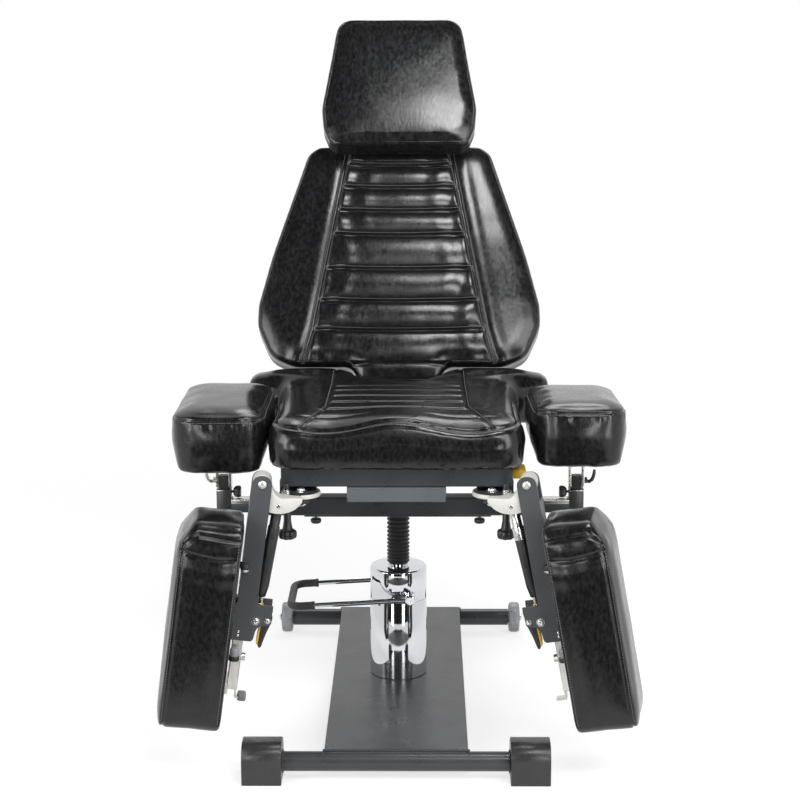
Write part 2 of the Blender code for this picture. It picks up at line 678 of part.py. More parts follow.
disc_face = DISC_Z + DISC_T
for side, sign in SIDES:
    solid("leg_swing_bolt_" + side,
          lathe([(0, disc_face + 0.0045), (0.0066, disc_face + 0.0045), (0.0072, disc_face + GAP),
                 (0.004, disc_face + GAP), (0.004, LUG_PLATE_Z - GAP), (0.008, LUG_PLATE_Z - GAP),
                 (0.008, LUG_PLATE_Z - 0.006), (0, LUG_PLATE_Z - 0.006)], 16,
                at=seat_at(sign * SWING_X, SWING_Y, 0)), "steel", seat)
    turn = empty("swing_knob_axis_" + side, seat, seat_at(sign * knob_x, knob_y, LUG_PLATE_Z))
    solid("swing_knob_" + side,
          lathe([(0, 0.011), (0.004, 0.011), (0.004, -0.044), (0.0085, -0.046), (0.0095, -0.060),
                 (0.0155, -0.062), (0.0172, -0.066), (0.0172, -0.073), (0.0150, -0.077), (0, -0.077)],
                28, lobes=7, lobe_rows=(5, 6, 7, 8)), "plastic", turn)
    turn = empty("slide_knob_axis_" + side, seat, seat_at(sign * clamp_x, CROSS_Y, CROSS_Z - SLIDER / 2))
    solid("slide_knob_" + side,
          lathe([(0, -GAP), (0.003, -GAP), (0.003, -0.014), (0.0098, -0.0152), (0.0106, -0.018),
                 (0.0102, -0.0225), (0.006, -0.0245), (0, -0.0245)], 20), "plastic", turn)

# Backrest release lever under the right edge of the seat
LEVER_Y = -0.030
LEVER_Z = FRAME_Z + 0.014
PADDLE_NEAR = 0.096
PADDLE_FAR = 0.146
PADDLE_W = 0.027
lever = empty("recline_lever_axis", seat, seat_at(FRAME_HALF, LEVER_Y, LEVER_Z))
cut(frame, rod(0.0045, FRAME_HALF - 0.03, FRAME_HALF + 0.01, "x", seat_at(0, LEVER_Y, LEVER_Z), 12))
paddle = solid("recline_lever", edged((0.003, -PADDLE_FAR, -0.019), (0.003 + PADDLE_W, -PADDLE_NEAR, -0.001),
                                      0.004), "yellow", lever)
join(paddle, box((0.001, -PADDLE_NEAR - 0.008, -0.007), (0.005, 0.008, 0.005)))
join(paddle, rod(0.0042, -0.028, 0.004, "x", (0, 0, 0), 12))

# Backrest and headrest, drawn along the reclined face
back = empty("back_hinge_axis", seat, seat_at(0, HINGE_Y, HINGE_Z), (-RECLINE, 0, 0))
rise = (HINGE_Y - FACE_Y) * sin(RECLINE) + (HINGE_Z - FACE_Z) * cos(RECLINE)
depth = (HINGE_Y - FACE_Y) * cos(RECLINE) - (HINGE_Z - FACE_Z) * sin(RECLINE)


def back_at(x, along, behind):
    """x, distance up the face, distance behind the face."""
    return Vector((x, behind - depth, along - rise))


back_line = rounded(mirrored([
    (0.170, BACK_TOP, 0.020), (0.1935, BACK_TOP - 0.017, 0.028), (0.2650, 0.235, 0.200),
    (0.2905, 0.128, 0.070), (0.2915, 0.082, 0.050), (0.262, 0.014, 0.040), (0.215, -0.006, 0.050),
    (0.106, -0.006, 0.014), (0.088, -TONGUE, 0.012)]), 3)
pad = solid("back_cushion", cushion(back_line, BACK_T - BACK_CROWN, BACK_CROWN,
                                    lambda a, b, h: back_at(a, b, BACK_T - h)), "leather", back)
for along in (0.0696, 0.133, 0.2035, 0.279, 0.333, 0.386, 0.438):
    half = CHANNEL_HALF - CHANNEL_TAPER * along
    cut(pad, prism([(along - 0.005, -0.004), (along + 0.005, -0.004), (along, 0.004)], -half, half,
                   lambda a, b, h: back_at(h, a, b)))
plate_near = BACK_T + GAP
plate_far = plate_near + BACK_PLATE_T
spine = solid("back_frame", box(back_at(-BACK_PLATE_HALF, BACK_PLATE_LOW, plate_near),
                                back_at(BACK_PLATE_HALF, BACK_PLATE_TOP, plate_far)), "paint", back, False)
arm_line = [(-0.012, -0.008), (-0.006, -0.0125), (0.006, -0.0125), (0.0125, -0.006), (0.0125, 0.020)]
slot = plate_far - depth
arm_line += [(slot + 0.012, 0.290), (slot - 0.002, 0.300), (slot - 0.002, 0.125)]
for sign in (-1, 1):
    ends = sorted((sign * (BACK_ARM_X - BACK_ARM_T / 2), sign * (BACK_ARM_X + BACK_ARM_T / 2)))
    join(spine, prism(arm_line, ends[0], ends[1], lambda a, b, h: Vector((h, a, b))))
post_near = plate_far + SLIDE_FIT
post_far = post_near + POST_T
side_in = POST_W / 2 + SLIDE_FIT
guide = [(-side_in - 0.009, plate_far - 0.001), (-side_in - 0.009, post_far + 0.0045),
         (side_in + 0.009, post_far + 0.0045), (side_in + 0.009, plate_far - 0.001),
         (side_in, plate_far - 0.001), (side_in, post_far + SLIDE_FIT),
         (-side_in, post_far + SLIDE_FIT), (-side_in, plate_far - 0.001)]
for low in (0.330, 0.395):
    join(spine, prism(guide, low, low + 0.028, lambda a, b, h: back_at(a, h, b)))
cut(spine, rod(HINGE_PIN_R + GAP, -0.1, 0.1, "x", (0, 0, 0)))

slide = empty("headrest_slide_axis", back, back_at(0, HEADREST_BOTTOM, 0))


def head_at(x, along, behind):
    return Vector((x, behind, along - HEADREST_BOTTOM))


post_top = POST_BEND + 0.008
shelf_near = -HEAD_STAND + GAP
post = solid("headrest_post", box(head_at(-POST_W / 2, POST_LOW, post_near),
                                  head_at(POST_W / 2, post_top, post_far)), "steel", slide, False)
join(post, box(head_at(-POST_W / 2, POST_BEND, shelf_near), head_at(POST_W / 2, post_top, post_near + 0.001)))
join(post, box(head_at(-0.05, POST_BEND, shelf_near), head_at(0.05, POST_BEND + 0.113, shelf_near + 0.006)))
top = HEADREST_BOTTOM + HEADREST_H
head_line = rounded(mirrored([
    (0.129, top, 0.034), (0.1620, HEADREST_BOTTOM + 0.085, 0.060), (0.158, HEADREST_BOTTOM + 0.040, 0.050),
    (0.141, HEADREST_BOTTOM, 0.028)]), 3)
solid("headrest_cushion", cushion(head_line, HEADREST_T - 0.008, 0.008,
                                  lambda a, b, h: head_at(a, b, -HEAD_STAND - h)), "leather", slide)

# Armrests: a bar sliding in the cross tube, a post, a stem and a tilting pad
for side, sign in SIDES:
    def out(x):
        """Distance outward from the post, as an x of this side."""
        return sign * x

    reach = empty("arm_slide_axis_" + side, seat, seat_at(sign * (ARM_X + ARM_SET[side]), CROSS_Y, CROSS_Z))
    ends = sorted((out(SLIDER_IN - ARM_X), out(-SOCKET / 2 + 0.002)))
    half = SLIDER / 2
    bar = solid("arm_slider_" + side, edged((ends[0], -half, -half), (ends[1], half, half), 0.0015),
                "chrome", reach, False)
    half = SOCKET / 2
    low = SOCKET_Z - CROSS_Z
    high = SOCKET_TOP - CROSS_Z
    join(bar, edged((-half, -half, low), (half, half, high), 0.0015))
    half = SOCKET_BORE / 2
    cut(bar, box((-half, -half, low - 0.01), (half, half, high + 0.01)))
    knob_z = high - 0.0065
    ends = sorted((out(-SOCKET / 2 - 0.01), out(0)))
    cut(bar, rod(0.0034, ends[0], ends[1], "x", (0, 0, knob_z), 12))
    turn = empty("height_knob_axis_" + side, reach, (out(-SOCKET / 2), 0, knob_z))
    stem_half = SOCKET_BORE / 2 - SLIDE_FIT
    touch = SOCKET / 2 - stem_half - GAP
    solid("height_knob_" + side,
          lathe([(0, out(touch)), (0.003, out(touch)), (0.003, out(-0.004)), (0.0075, out(-0.005)),
                 (0.0110, out(-0.009)), (0.0116, out(-0.014)), (0.0100, out(-0.0185)), (0, out(-0.0185))],
                20, "x", lobes=6, lobe_rows=(4, 5, 6)), "plastic", turn)
    lift = empty("arm_height_axis_" + side, reach, (0, 0, 0))
    tilt_h = TILT_Z - CROSS_Z
    leg_in = YOKE_W / 2 - YOKE_LEG
    tongue = leg_in - SLIDE_FIT
    stem = solid("arm_stem_" + side, edged((-tongue, -stem_half, low + 0.006),
                                           (tongue, stem_half, tilt_h + 0.0105), 0.001), "steel", lift, False)
    cut(stem, rod(0.0033, -0.02, 0.02, "x", (0, 0, tilt_h), 16))
    tilt = empty("arm_tilt_axis_" + side, lift, (0, 0, tilt_h), (-ARM_TILT[side], 0, 0))
    shelf = ARM_PAD_Z - GAP - TILT_Z
    yoke_line = [(-YOKE_W / 2, -0.011), (-leg_in, -0.011), (-leg_in, shelf - 0.004), (leg_in, shelf - 0.004),
                 (leg_in, -0.011), (YOKE_W / 2, -0.011), (YOKE_W / 2, shelf), (-YOKE_W / 2, shelf)]
    yoke = solid("arm_yoke_" + side, prism(yoke_line, -YOKE_D / 2, YOKE_D / 2,
                                           lambda a, b, h: Vector((a, h, b))), "steel", tilt, False)
    join(yoke, box((-0.05, -0.06, shelf - 0.0041), (0.05, 0.06, shelf)))
    join(yoke, rod(0.003, -leg_in - 0.002, leg_in + 0.002, "x", (0, 0, 0), 16))
    half = ARM_PAD_W / 2
    middle = sign * (ARM_PAD_X - ARM_X)
    arm_line = rounded([(-half, ARM_PAD_FRONT, 0.022), (half, ARM_PAD_FRONT, 0.022),
                        (half, ARM_PAD_BACK, 0.030), (-half, ARM_PAD_BACK, 0.030)], 4)
    solid("arm_pad_" + side,
          cushion(arm_line, ARM_PAD_T, ARM_PAD_CROWN,
                  lambda a, b, h: Vector((middle + a, b - CROSS_Y, ARM_PAD_Z - TILT_Z + h))), "leather", tilt)
    turn = empty("tilt_lever_axis_" + side, tilt, (out(YOKE_W / 2), 0, 0))
    hub = rod(0.006, *sorted((out(GAP), out(0.006))), "x", (0, 0, 0), 16)
    lever = solid("tilt_lever_" + side, hub, "steel", turn)
    edge = [(0.0, -0.004), (0.010, -0.005), (0.0165, 0.004), (0.0185, 0.020), (0.0150, 0.021),
            (0.0130, 0.008), (0.008, 0.002), (0.0, 0.003)]
    blade = [(out(a + 0.003), b) for a, b in edge]
    join(lever, prism(blade, -0.004, 0.004, lambda a, b, h: Vector((a, h, b))))

# Leg rests: swing bracket, bar with gas spring, rail with the pad, release lever
for side, sign in SIDES:
    face = -sign
    swing = empty("leg_swing_axis_" + side, seat, seat_at(sign * SWING_X, SWING_Y, LEG_Z),
                  (0, 0, pi / 2 + face * (pi / 2 - SWING[side]) + (pi / 2 if sign < 0 else -pi / 2)))

    def plan(u, w, e):
        """Outward and up from the hinge, inward from the swing axis."""
        return Vector((LEG_REACH + u, face * e, w))

    inner = LEG_IN - CHEEK_W / 2
    outer = LEG_IN + CHEEK_W / 2
    disc_top = DISC_Z + DISC_T - LEG_Z
    cheek = [(BARREL_R * cos(pi * n / 8), BARREL_R * sin(pi * n / 8)) for n in range(9)]
    cheek += [(-0.0185, -0.012), (-0.025, -0.022), (-0.034, disc_top), (-0.070, disc_top), (-0.072, -0.035),
              (-0.067, -0.0415), (-0.058, -0.0495), (-0.046, -0.0550), (-0.031, -0.0570), (-0.018, -0.0555),
              (-0.005, -0.0500), (0.006, -0.0390), (0.0135, -0.0180)]
    bracket = solid("leg_bracket_" + side, prism(cheek, inner, outer, plan), "ivory", swing)
    join(bracket, rod(DISC_R, disc_top - DISC_T, disc_top, "z", (0, 0, 0), 32))
    half = CHEEK_SLOT / 2
    low = plan(-0.047, -0.075, LEG_IN - half)
    high = plan(0.04, -0.0305, LEG_IN + half)
    cut(bracket, box([min(p) for p in zip(low, high)], [max(p) for p in zip(low, high)]))
    pin = sorted((face * (inner + 0.001), face * (outer - 0.001)))
    join(bracket, rod(SPRING_PIN_R, pin[0], pin[1], "y", (LEG_REACH + SPRING_U, 0, SPRING_W), 16))
    ends = sorted((face * (inner - 0.01), face * (outer + 0.01)))
    cut(bracket, rod(BOLT_R + GAP, ends[0], ends[1], "y", (LEG_REACH, 0, 0)))
    cut(bracket, rod(0.0044, -0.06, 0.0, "z", (0, 0, 0), 16))
    wall_in = CHEEK_W / 2 + SLIDE_FIT
    wall_out = wall_in + BAR_WALL
    head = wall_out + GAP
    solid("leg_hinge_bolt_" + side,
          lathe([(0, head + 0.003), (0.0058, head + 0.003), (0.0070, head + 0.001), (0.0070, head),
                 (BOLT_R, head), (BOLT_R, -head), (0.0070, -head), (0.0070, -head - 0.001),
                 (0.0058, -head - 0.003), (0, -head - 0.003)], 14, "y", (LEG_REACH, face * LEG_IN, 0)),
          "steel", swing)

    leg = empty("leg_hinge_axis_" + side, swing, (LEG_REACH, face * LEG_IN, 0), (0, -HANG[side], 0))

    def limb(q, l, e):
        """Across the leg (outward), along it from the hinge, inward from its plane."""
        return Vector((q, face * e, -l))

    half = BAR_W / 2
    wall = [(half * cos(pi * n / 8), -0.0155 * sin(pi * n / 8)) for n in range(9)]
    ear = LEVER_Q - LEVER_EAR
    wall += [(-half, BAR_L + 0.004), (ear - 0.0015, BAR_L + 0.004), (ear - 0.002, BAR_L + 0.014),
             (ear, LEVER_L - 0.004), (ear, LEVER_L + 0.0055), (ear + 0.0025, LEVER_L + 0.009),
             (-0.0300, LEVER_L + 0.0115), (-0.0235, LEVER_L + 0.0155), (-0.0205, LEVER_L + 0.0225),
             (-0.0190, LOWER_L - 0.009), (-0.0180, LOWER_L - 0.004), (-0.0145, LOWER_L),
             (LOWER_Q, LOWER_L), (LOWER_Q, BAR_L + 0.010), (half, BAR_L)]
    beam = solid("leg_bar_" + side, prism(wall, wall_in, wall_out, limb), "paint", leg, False)
    join(beam, prism(wall, -wall_out, -wall_in, limb))
    web = [(half - BAR_WALL, 0.034), (half - GAP, 0.034), (half - GAP, WEB_L), (half - BAR_WALL, WEB_L)]
    join(beam, prism(web, -wall_out + 0.001, wall_out - 0.001, limb))
    guide = [(RAIL_OUT + 0.001, GUIDE_L), (LOWER_Q - GAP, GUIDE_L), (LOWER_Q - GAP, LOWER_L - 0.001),
             (RAIL_OUT + 0.001, LOWER_L - 0.001)]
    join(beam, prism(guide, -wall_out + 0.001, wall_out - 0.001, limb))
    join(beam, rod(BUMPER_R, half - 0.002, PAD_Q - GAP, "x", (0, 0, -BUMPER_L), 12))
    cut(beam, rod(BOLT_R + GAP, -0.03, 0.03, "y", (0, 0, 0)))
    cross_bolt = sorted((-wall_in - 0.002, wall_in + 0.002))
    join(beam, rod(0.004, *cross_bolt, "y", (-0.0186, 0, -0.257), 12))
    join(beam, rod(0.0035, *cross_bolt, "y", (LEVER_Q, 0, -LEVER_L), 12))

    release = empty("release_lever_axis_" + side, leg, limb(LEVER_Q, LEVER_L, 0))
    handle = [(0.0095 * cos(pi * n / 6), 0.0095 * sin(pi * n / 6)) for n in range(7)]
    handle += [(-0.0075, -0.022), (-0.0030, -0.040), (0.0005, -0.054), (0.0040, -0.059), (0.0095, -0.058),
               (0.0120, -0.052), (0.0110, -0.036)]
    grip = solid("release_lever_" + side, prism(handle, -0.006, 0.006, lambda a, b, h: Vector((a, h, b))),
                 "plastic", release)
    cut(grip, rod(0.0038, -0.02, 0.02, "y", (0, 0, 0), 16))

    rail_move = empty("leg_pad_slide_axis_" + side, leg, (0, 0, 0))
    half = RAIL_W / 2
    low = limb(RAIL_OUT - RAIL_T, RAIL_END, -half)
    high = limb(RAIL_OUT, RAIL_TOP, half)
    corners = [min(p) for p in zip(low, high)], [max(p) for p in zip(low, high)]
    rail = solid("pad_rail_" + side, edged(*corners, 0.001), "steel", rail_move, False)
    low = limb(RAIL_OUT - 0.001, SHOE_END, -half - 0.008)
    high = limb(PAD_Q - GAP, SHOE_END - 0.018, half + 0.040)
    join(rail, box([min(p) for p in zip(low, high)], [max(p) for p in zip(low, high)]))
    tab_q = RAIL_OUT - RAIL_T
    join(rail, rod(0.0075, tab_q - 0.008, tab_q + 0.001, "x", (0, 0, -SHOE_TOP - 0.017), 16))
    tab = [(tab_q + 0.001, RAIL_END - 0.008), (tab_q + 0.004, RAIL_END - 0.008),
           (tab_q + 0.004, RAIL_END + 0.017), (tab_q - TAB_L, RAIL_END + 0.017),
           (tab_q - TAB_L, RAIL_END + 0.014), (tab_q + 0.001, RAIL_END + 0.014)]
    join(rail, prism(tab, -0.009, 0.009, limb))
    half = PAD_W / 2
    shift = PAD_W / 2 - LEG_IN
    pad_line = rounded([(-half, PAD_TOP, 0.034), (half, PAD_TOP, 0.034), (half, PAD_END, 0.026),
                        (-half, PAD_END, 0.026)], 4)
    solid("leg_pad_" + side,
          cushion(pad_line, PAD_T, PAD_CROWN, lambda a, b, h: limb(PAD_Q + h, b, a + shift),
                  lambda a, b: -0.020 * (1 - smooth_step(b, PAD_TOP, PAD_TOP + 0.050))), "leather", rail_move)

    # Gas spring between the bracket and the lower end of the bar
    end_u = SPRING_L * sin(HANG[side]) + SPRING_Q * cos(HANG[side])
    end_w = -SPRING_L * cos(HANG[side]) + SPRING_Q * sin(HANG[side])
    run_u = end_u - SPRING_U
    run_w = end_w - SPRING_W
    length = hypot(run_u, run_w)
    lean = -atan2(run_u, -run_w)
    spring = empty("gas_spring_axis_" + side, swing, plan(SPRING_U, SPRING_W, LEG_IN), (0, lean, 0))
    tube = solid("gas_cylinder_" + side,
                 lathe([(0, -0.0145), (NECK_R - 0.001, -0.0145), (NECK_R, -0.0155), (NECK_R, -NECK_L),
                        (SPRING_R, -NECK_L - 0.0015), (SPRING_R, -TUBE_L + 0.018),
                        (0.0078, -TUBE_L), (ROD_R + GAP, -TUBE_L), (ROD_R + GAP, -0.040), (0, -0.040)], 20),
                 "plastic", spring)
    join(tube, rod(0.0095, -0.0095, 0.0095, "y", (0, 0, 0)))
    join(tube, box((-0.007, -0.0085, -0.018), (0.007, 0.0085, -0.003)))
    cut(tube, rod(SPRING_PIN_R + SLIDE_FIT, -0.02, 0.02, "y", (0, 0, 0), 16))
    push = empty("gas_rod_axis_" + side, spring, (0, 0, 0))
    solid("gas_rod_" + side,
          lathe([(0, -0.060), (ROD_R, -0.060), (ROD_R, -length + 0.014), (0.0078, -length + 0.012),
                 (0.0078, -length + 0.002), (0.006, -length - 0.004), (0, -length - 0.004)], 16),
          "steel", push)
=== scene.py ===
# %% [markdown]
# A hydraulic tattoo chair is a pump on a flat base that lifts an upholstered seat, with a back, a headrest,
# two armrests and two leg rests hung round it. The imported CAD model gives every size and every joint, so
# this lesson loads it first as a fixed frame. Each later step dresses one group of pieces over that frame.

# %% Load the chair's frame
from math import atan2, cos, hypot, pi, radians, sin
import bmesh
import bpy
import numpy as np
from mathutils import Matrix, Vector, noise
from mathutils.bvhtree import BVHTree


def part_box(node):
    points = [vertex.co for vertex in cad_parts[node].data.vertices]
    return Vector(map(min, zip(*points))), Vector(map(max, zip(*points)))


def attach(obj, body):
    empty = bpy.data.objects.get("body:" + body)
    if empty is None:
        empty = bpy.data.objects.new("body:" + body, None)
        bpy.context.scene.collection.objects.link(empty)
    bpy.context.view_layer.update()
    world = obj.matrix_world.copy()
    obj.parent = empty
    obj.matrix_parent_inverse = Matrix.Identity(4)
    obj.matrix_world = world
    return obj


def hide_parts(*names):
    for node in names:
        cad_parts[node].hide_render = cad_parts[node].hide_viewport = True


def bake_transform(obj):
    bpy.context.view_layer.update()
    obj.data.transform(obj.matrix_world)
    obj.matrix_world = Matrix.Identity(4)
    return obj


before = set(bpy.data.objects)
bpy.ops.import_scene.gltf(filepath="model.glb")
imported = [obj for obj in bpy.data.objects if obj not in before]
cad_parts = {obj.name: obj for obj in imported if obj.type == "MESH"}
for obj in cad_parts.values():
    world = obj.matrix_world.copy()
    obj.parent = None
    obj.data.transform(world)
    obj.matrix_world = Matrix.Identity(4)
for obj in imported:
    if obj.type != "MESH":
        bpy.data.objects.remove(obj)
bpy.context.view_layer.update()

# %% [markdown]
# The photograph was taken from a little above the seat with a long lens, almost square to the chair. The
# camera below stands where a pinhole fitted to the base plate, pump and wheels puts it. Its axes are built
# by hand from pitch, yaw and roll, because that keeps the fitted numbers readable.

# %% Stand the camera where the photograph was taken
PUMP_Y = -0.031                       # the pump's axis in the chair's frame
VIEW_PIXELS = 1872.83                 # focal length, in pixels of the photograph
PHOTO_PIXELS = 800                    # width of the photograph
SENSOR_MM = 36                        # width of the lens's sensor
STAND_X, STAND_Y, STAND_Z = 0.0439, -3.5766 + PUMP_Y, 1.4016
pitch, yaw, roll = 0.2166, -0.0111, -0.0028
ahead = Vector((sin(yaw) * cos(pitch), cos(yaw) * cos(pitch), -sin(pitch)))
level = Vector((cos(yaw), -sin(yaw), 0))
above = level.cross(ahead)
across = level * cos(roll) + above * sin(roll)
upward = above * cos(roll) - level * sin(roll)
lens = bpy.data.cameras.new("portrait_lens")
lens.sensor_width = SENSOR_MM
lens.lens = VIEW_PIXELS / PHOTO_PIXELS * SENSOR_MM
viewer = bpy.data.objects.new("viewer", lens)
viewer.matrix_world = Matrix((
    (across.x, upward.x, -ahead.x, STAND_X), (across.y, upward.y, -ahead.y, STAND_Y),
    (across.z, upward.z, -ahead.z, STAND_Z), (0, 0, 0, 1)))
bpy.context.collection.objects.link(viewer)
bpy.context.scene.camera = viewer
bpy.context.scene.view_settings.view_transform = "Standard"
print("lens", round(lens.lens, 2), "mm")

# %% [markdown]
# Every finish is a Principled shader fed by a few noise textures in object space: one for colour, one for
# roughness, one for bump. These small helpers hang such textures on a finish, so each material below reads
# as a list of what the real surface shows. Numbers that are the same all over stay on the shader's own
# sockets.

# %% Helpers that mix a finish


def new_finish(name, colour, rough, metal=0.0):
    finish = bpy.data.materials.new(name)
    finish.use_nodes = True
    tree = finish.node_tree
    skin = tree.nodes["Principled BSDF"]
    skin.inputs["Base Color"].default_value = (*colour, 1)
    skin.inputs["Roughness"].default_value = rough
    skin.inputs["Metallic"].default_value = metal
    return finish, tree, skin


def grain(tree, scale, detail=3.0, stretch=(1, 1, 1), twist=0.0, kind="FBM"):
    """Noise in the object's own space, about scale features per metre."""
    where = tree.nodes.new("ShaderNodeTexCoord")
    squeeze = tree.nodes.new("ShaderNodeMapping")
    squeeze.inputs["Scale"].default_value = stretch
    speck = tree.nodes.new("ShaderNodeTexNoise")
    speck.noise_type = kind
    speck.inputs["Scale"].default_value = scale
    speck.inputs["Detail"].default_value = detail
    speck.inputs["Distortion"].default_value = twist
    tree.links.new(where.outputs["Object"], squeeze.inputs["Vector"])
    tree.links.new(squeeze.outputs["Vector"], speck.inputs["Vector"])
    return speck.outputs[0]


def pebbles(tree, scale):
    """Small closed cells, as on embossed leather."""
    where = tree.nodes.new("ShaderNodeTexCoord")
    cells = tree.nodes.new("ShaderNodeTexVoronoi")
    cells.feature = "DISTANCE_TO_EDGE"
    cells.inputs["Scale"].default_value = scale
    tree.links.new(where.outputs["Object"], cells.inputs["Vector"])
    return cells.outputs["Distance"]


def spread(tree, source, target, low, high, start=0.3, end=0.7):
    span = tree.nodes.new("ShaderNodeMapRange")
    for socket, value in zip(("From Min", "From Max", "To Min", "To Max"), (start, end, low, high)):
        span.inputs[socket].default_value = value
    tree.links.new(source, span.inputs["Value"])
    tree.links.new(span.outputs["Result"], target)


def shade(tree, skin, source, dark, light, start=0.3, end=0.7):
    ramp = tree.nodes.new("ShaderNodeValToRGB")
    ramp.color_ramp.elements[0].position = start
    ramp.color_ramp.elements[0].color = (*dark, 1)
    ramp.color_ramp.elements[1].position = end
    ramp.color_ramp.elements[1].color = (*light, 1)
    tree.links.new(source, ramp.inputs["Fac"])
    tree.links.new(ramp.outputs["Color"], skin.inputs["Base Color"])


def emboss(tree, skin, source, strength, depth):
    bump = tree.nodes.new("ShaderNodeBump")
    bump.inputs["Strength"].default_value = strength
    bump.inputs["Distance"].default_value = depth
    tree.links.new(source, bump.inputs["Height"])
    for link in list(skin.inputs["Normal"].links):
        tree.links.new(link.from_socket, bump.inputs["Normal"])
    tree.links.new(bump.outputs["Normal"], skin.inputs["Normal"])


print("finish helpers ready")

# %% [markdown]
# The cushions wear glossy black synthetic leather. Close up it has a fine pebble and a pale marbling, as if
# waxed and rubbed. One twisted noise draws the marbling and makes its veins a little duller, so that colour
# and gloss change together. Bumps at three scales break up the highlights.

# %% Mix the leather and its thread
leather, tree, skin = new_finish("black_leather", (0.007, 0.007, 0.008), 0.30)
marbling = grain(tree, 170, 7.0, (1, 0.6, 0.55), 0.5)
shade(tree, skin, marbling, (0.0040, 0.0040, 0.0045), (0.0110, 0.0110, 0.0118), 0.38, 0.66)
spread(tree, marbling, skin.inputs["Roughness"], 0.17, 0.27)
emboss(tree, skin, pebbles(tree, 900), 0.06, 0.0003)
emboss(tree, skin, grain(tree, 190, 6.0, (1, 0.7, 0.45), 0.4), 0.16, 0.0012)
emboss(tree, skin, grain(tree, 60, 6.0, (1, 0.8, 0.5), 0.6, "RIDGED_MULTIFRACTAL"), 0.08, 0.0008)
skin.inputs["Specular IOR Level"].default_value = 0.40
skin.inputs["Coat Weight"].default_value = 0.06
skin.inputs["Coat Roughness"].default_value = 0.14

thread, tree, skin = new_finish("waxed_thread", (0.10, 0.10, 0.10), 0.45)
shade(tree, skin, grain(tree, 900, 2.0), (0.05, 0.05, 0.05), (0.17, 0.17, 0.16))
print("leather and thread mixed")

# %% [markdown]
# The frame is powder coated dark grey, the leg bars and the carrier under the seat in lighter greys, and
# the swivel castings in ivory. Powder coat is a baked plastic skin with a faint orange peel, a soft sheen
# and slightly uneven shade. A shallow bump and a slow colour drift give it that without any picture
# texture.

# %% Mix the powder coats


def powder_coat(name, dark, light, low, high):
    finish, tree, skin = new_finish(name, light, low)
    shade(tree, skin, grain(tree, 6, 3.0), dark, light, 0.2, 0.8)
    spread(tree, grain(tree, 18, 3.0), skin.inputs["Roughness"], low, high)
    emboss(tree, skin, grain(tree, 1300, 2.0), 0.06, 0.0002)
    skin.inputs["Specular IOR Level"].default_value = 0.45
    return finish


frame_coat = powder_coat("frame_powder_coat", (0.031, 0.033, 0.036), (0.043, 0.045, 0.049), 0.25, 0.35)
leg_coat = powder_coat("leg_powder_coat", (0.050, 0.053, 0.057), (0.064, 0.067, 0.072), 0.30, 0.42)
panel_coat = powder_coat("carrier_powder_coat", (0.078, 0.087, 0.095), (0.098, 0.107, 0.116), 0.36, 0.48)
bracket_coat = powder_coat("ivory_bracket_coat", (0.50, 0.50, 0.46), (0.60, 0.60, 0.56), 0.34, 0.46)
lever_coat = powder_coat("yellow_grip_coat", (0.60, 0.36, 0.012), (0.76, 0.49, 0.022), 0.36, 0.50)
print("five powder coats mixed")

# %% [markdown]
# Bright metal comes in two kinds here. The pump and pedal are chrome plated, a mirror with the faintest
# haze. Bolts, rails and brackets are zinc or stainless, duller, with fine lines from rolling and brushing.

# %% Mix the metals
chrome, tree, skin = new_finish("mirror_chrome", (0.64, 0.65, 0.67), 0.05, 1.0)
spread(tree, grain(tree, 30, 4.0), skin.inputs["Roughness"], 0.03, 0.07)
shade(tree, skin, grain(tree, 7, 2.0), (0.60, 0.61, 0.63), (0.68, 0.69, 0.71))


def rolled_metal(name, dark, light, low, high, stretch):
    finish, tree, skin = new_finish(name, light, low, 1.0)
    shade(tree, skin, grain(tree, 40, 4.0), dark, light)
    spread(tree, grain(tree, 260, 3.0, stretch), skin.inputs["Roughness"], low, high)
    emboss(tree, skin, grain(tree, 420, 3.0, stretch), 0.05, 0.0003)
    return finish


zinc = rolled_metal("bright_zinc", (0.62, 0.62, 0.60), (0.78, 0.78, 0.77), 0.16, 0.32, (1, 1, 1))
stainless = rolled_metal("brushed_stainless", (0.56, 0.55, 0.52), (0.72, 0.71, 0.68), 0.24, 0.38,
                         (1, 1, 0.06))
nickel = rolled_metal("dull_nickel", (0.50, 0.49, 0.46), (0.68, 0.67, 0.64), 0.18, 0.34, (0.2, 1, 1))
matt_zinc = rolled_metal("matt_zinc", (0.66, 0.66, 0.65), (0.82, 0.82, 0.81), 0.38, 0.52, (1, 1, 1))
gold_zinc = rolled_metal("yellow_zinc", (0.62, 0.44, 0.16), (0.78, 0.60, 0.26), 0.20, 0.34, (1, 1, 1))
print("six metals mixed")

# %% [markdown]
# Knobs and feet are moulded black plastic with a spark-eroded texture, the bellows and pedal sleeve are
# rubber, softer and a little dusty, and the wheels are a milky grey plastic that lets some light through.

# %% Mix the plastics and rubber
plastic, tree, skin = new_finish("moulded_black_plastic", (0.018, 0.018, 0.019), 0.36)
shade(tree, skin, grain(tree, 22, 3.0), (0.012, 0.012, 0.013), (0.024, 0.024, 0.025))
spread(tree, grain(tree, 90, 3.0), skin.inputs["Roughness"], 0.30, 0.46)
emboss(tree, skin, grain(tree, 1700, 2.0), 0.14, 0.0003)

foot_plastic, tree, skin = new_finish("grey_black_foot_plastic", (0.045, 0.045, 0.046), 0.45)
shade(tree, skin, grain(tree, 18, 4.0), (0.016, 0.016, 0.017), (0.027, 0.027, 0.028))
spread(tree, grain(tree, 70, 3.0), skin.inputs["Roughness"], 0.24, 0.38)
emboss(tree, skin, grain(tree, 1500, 2.0), 0.16, 0.0003)

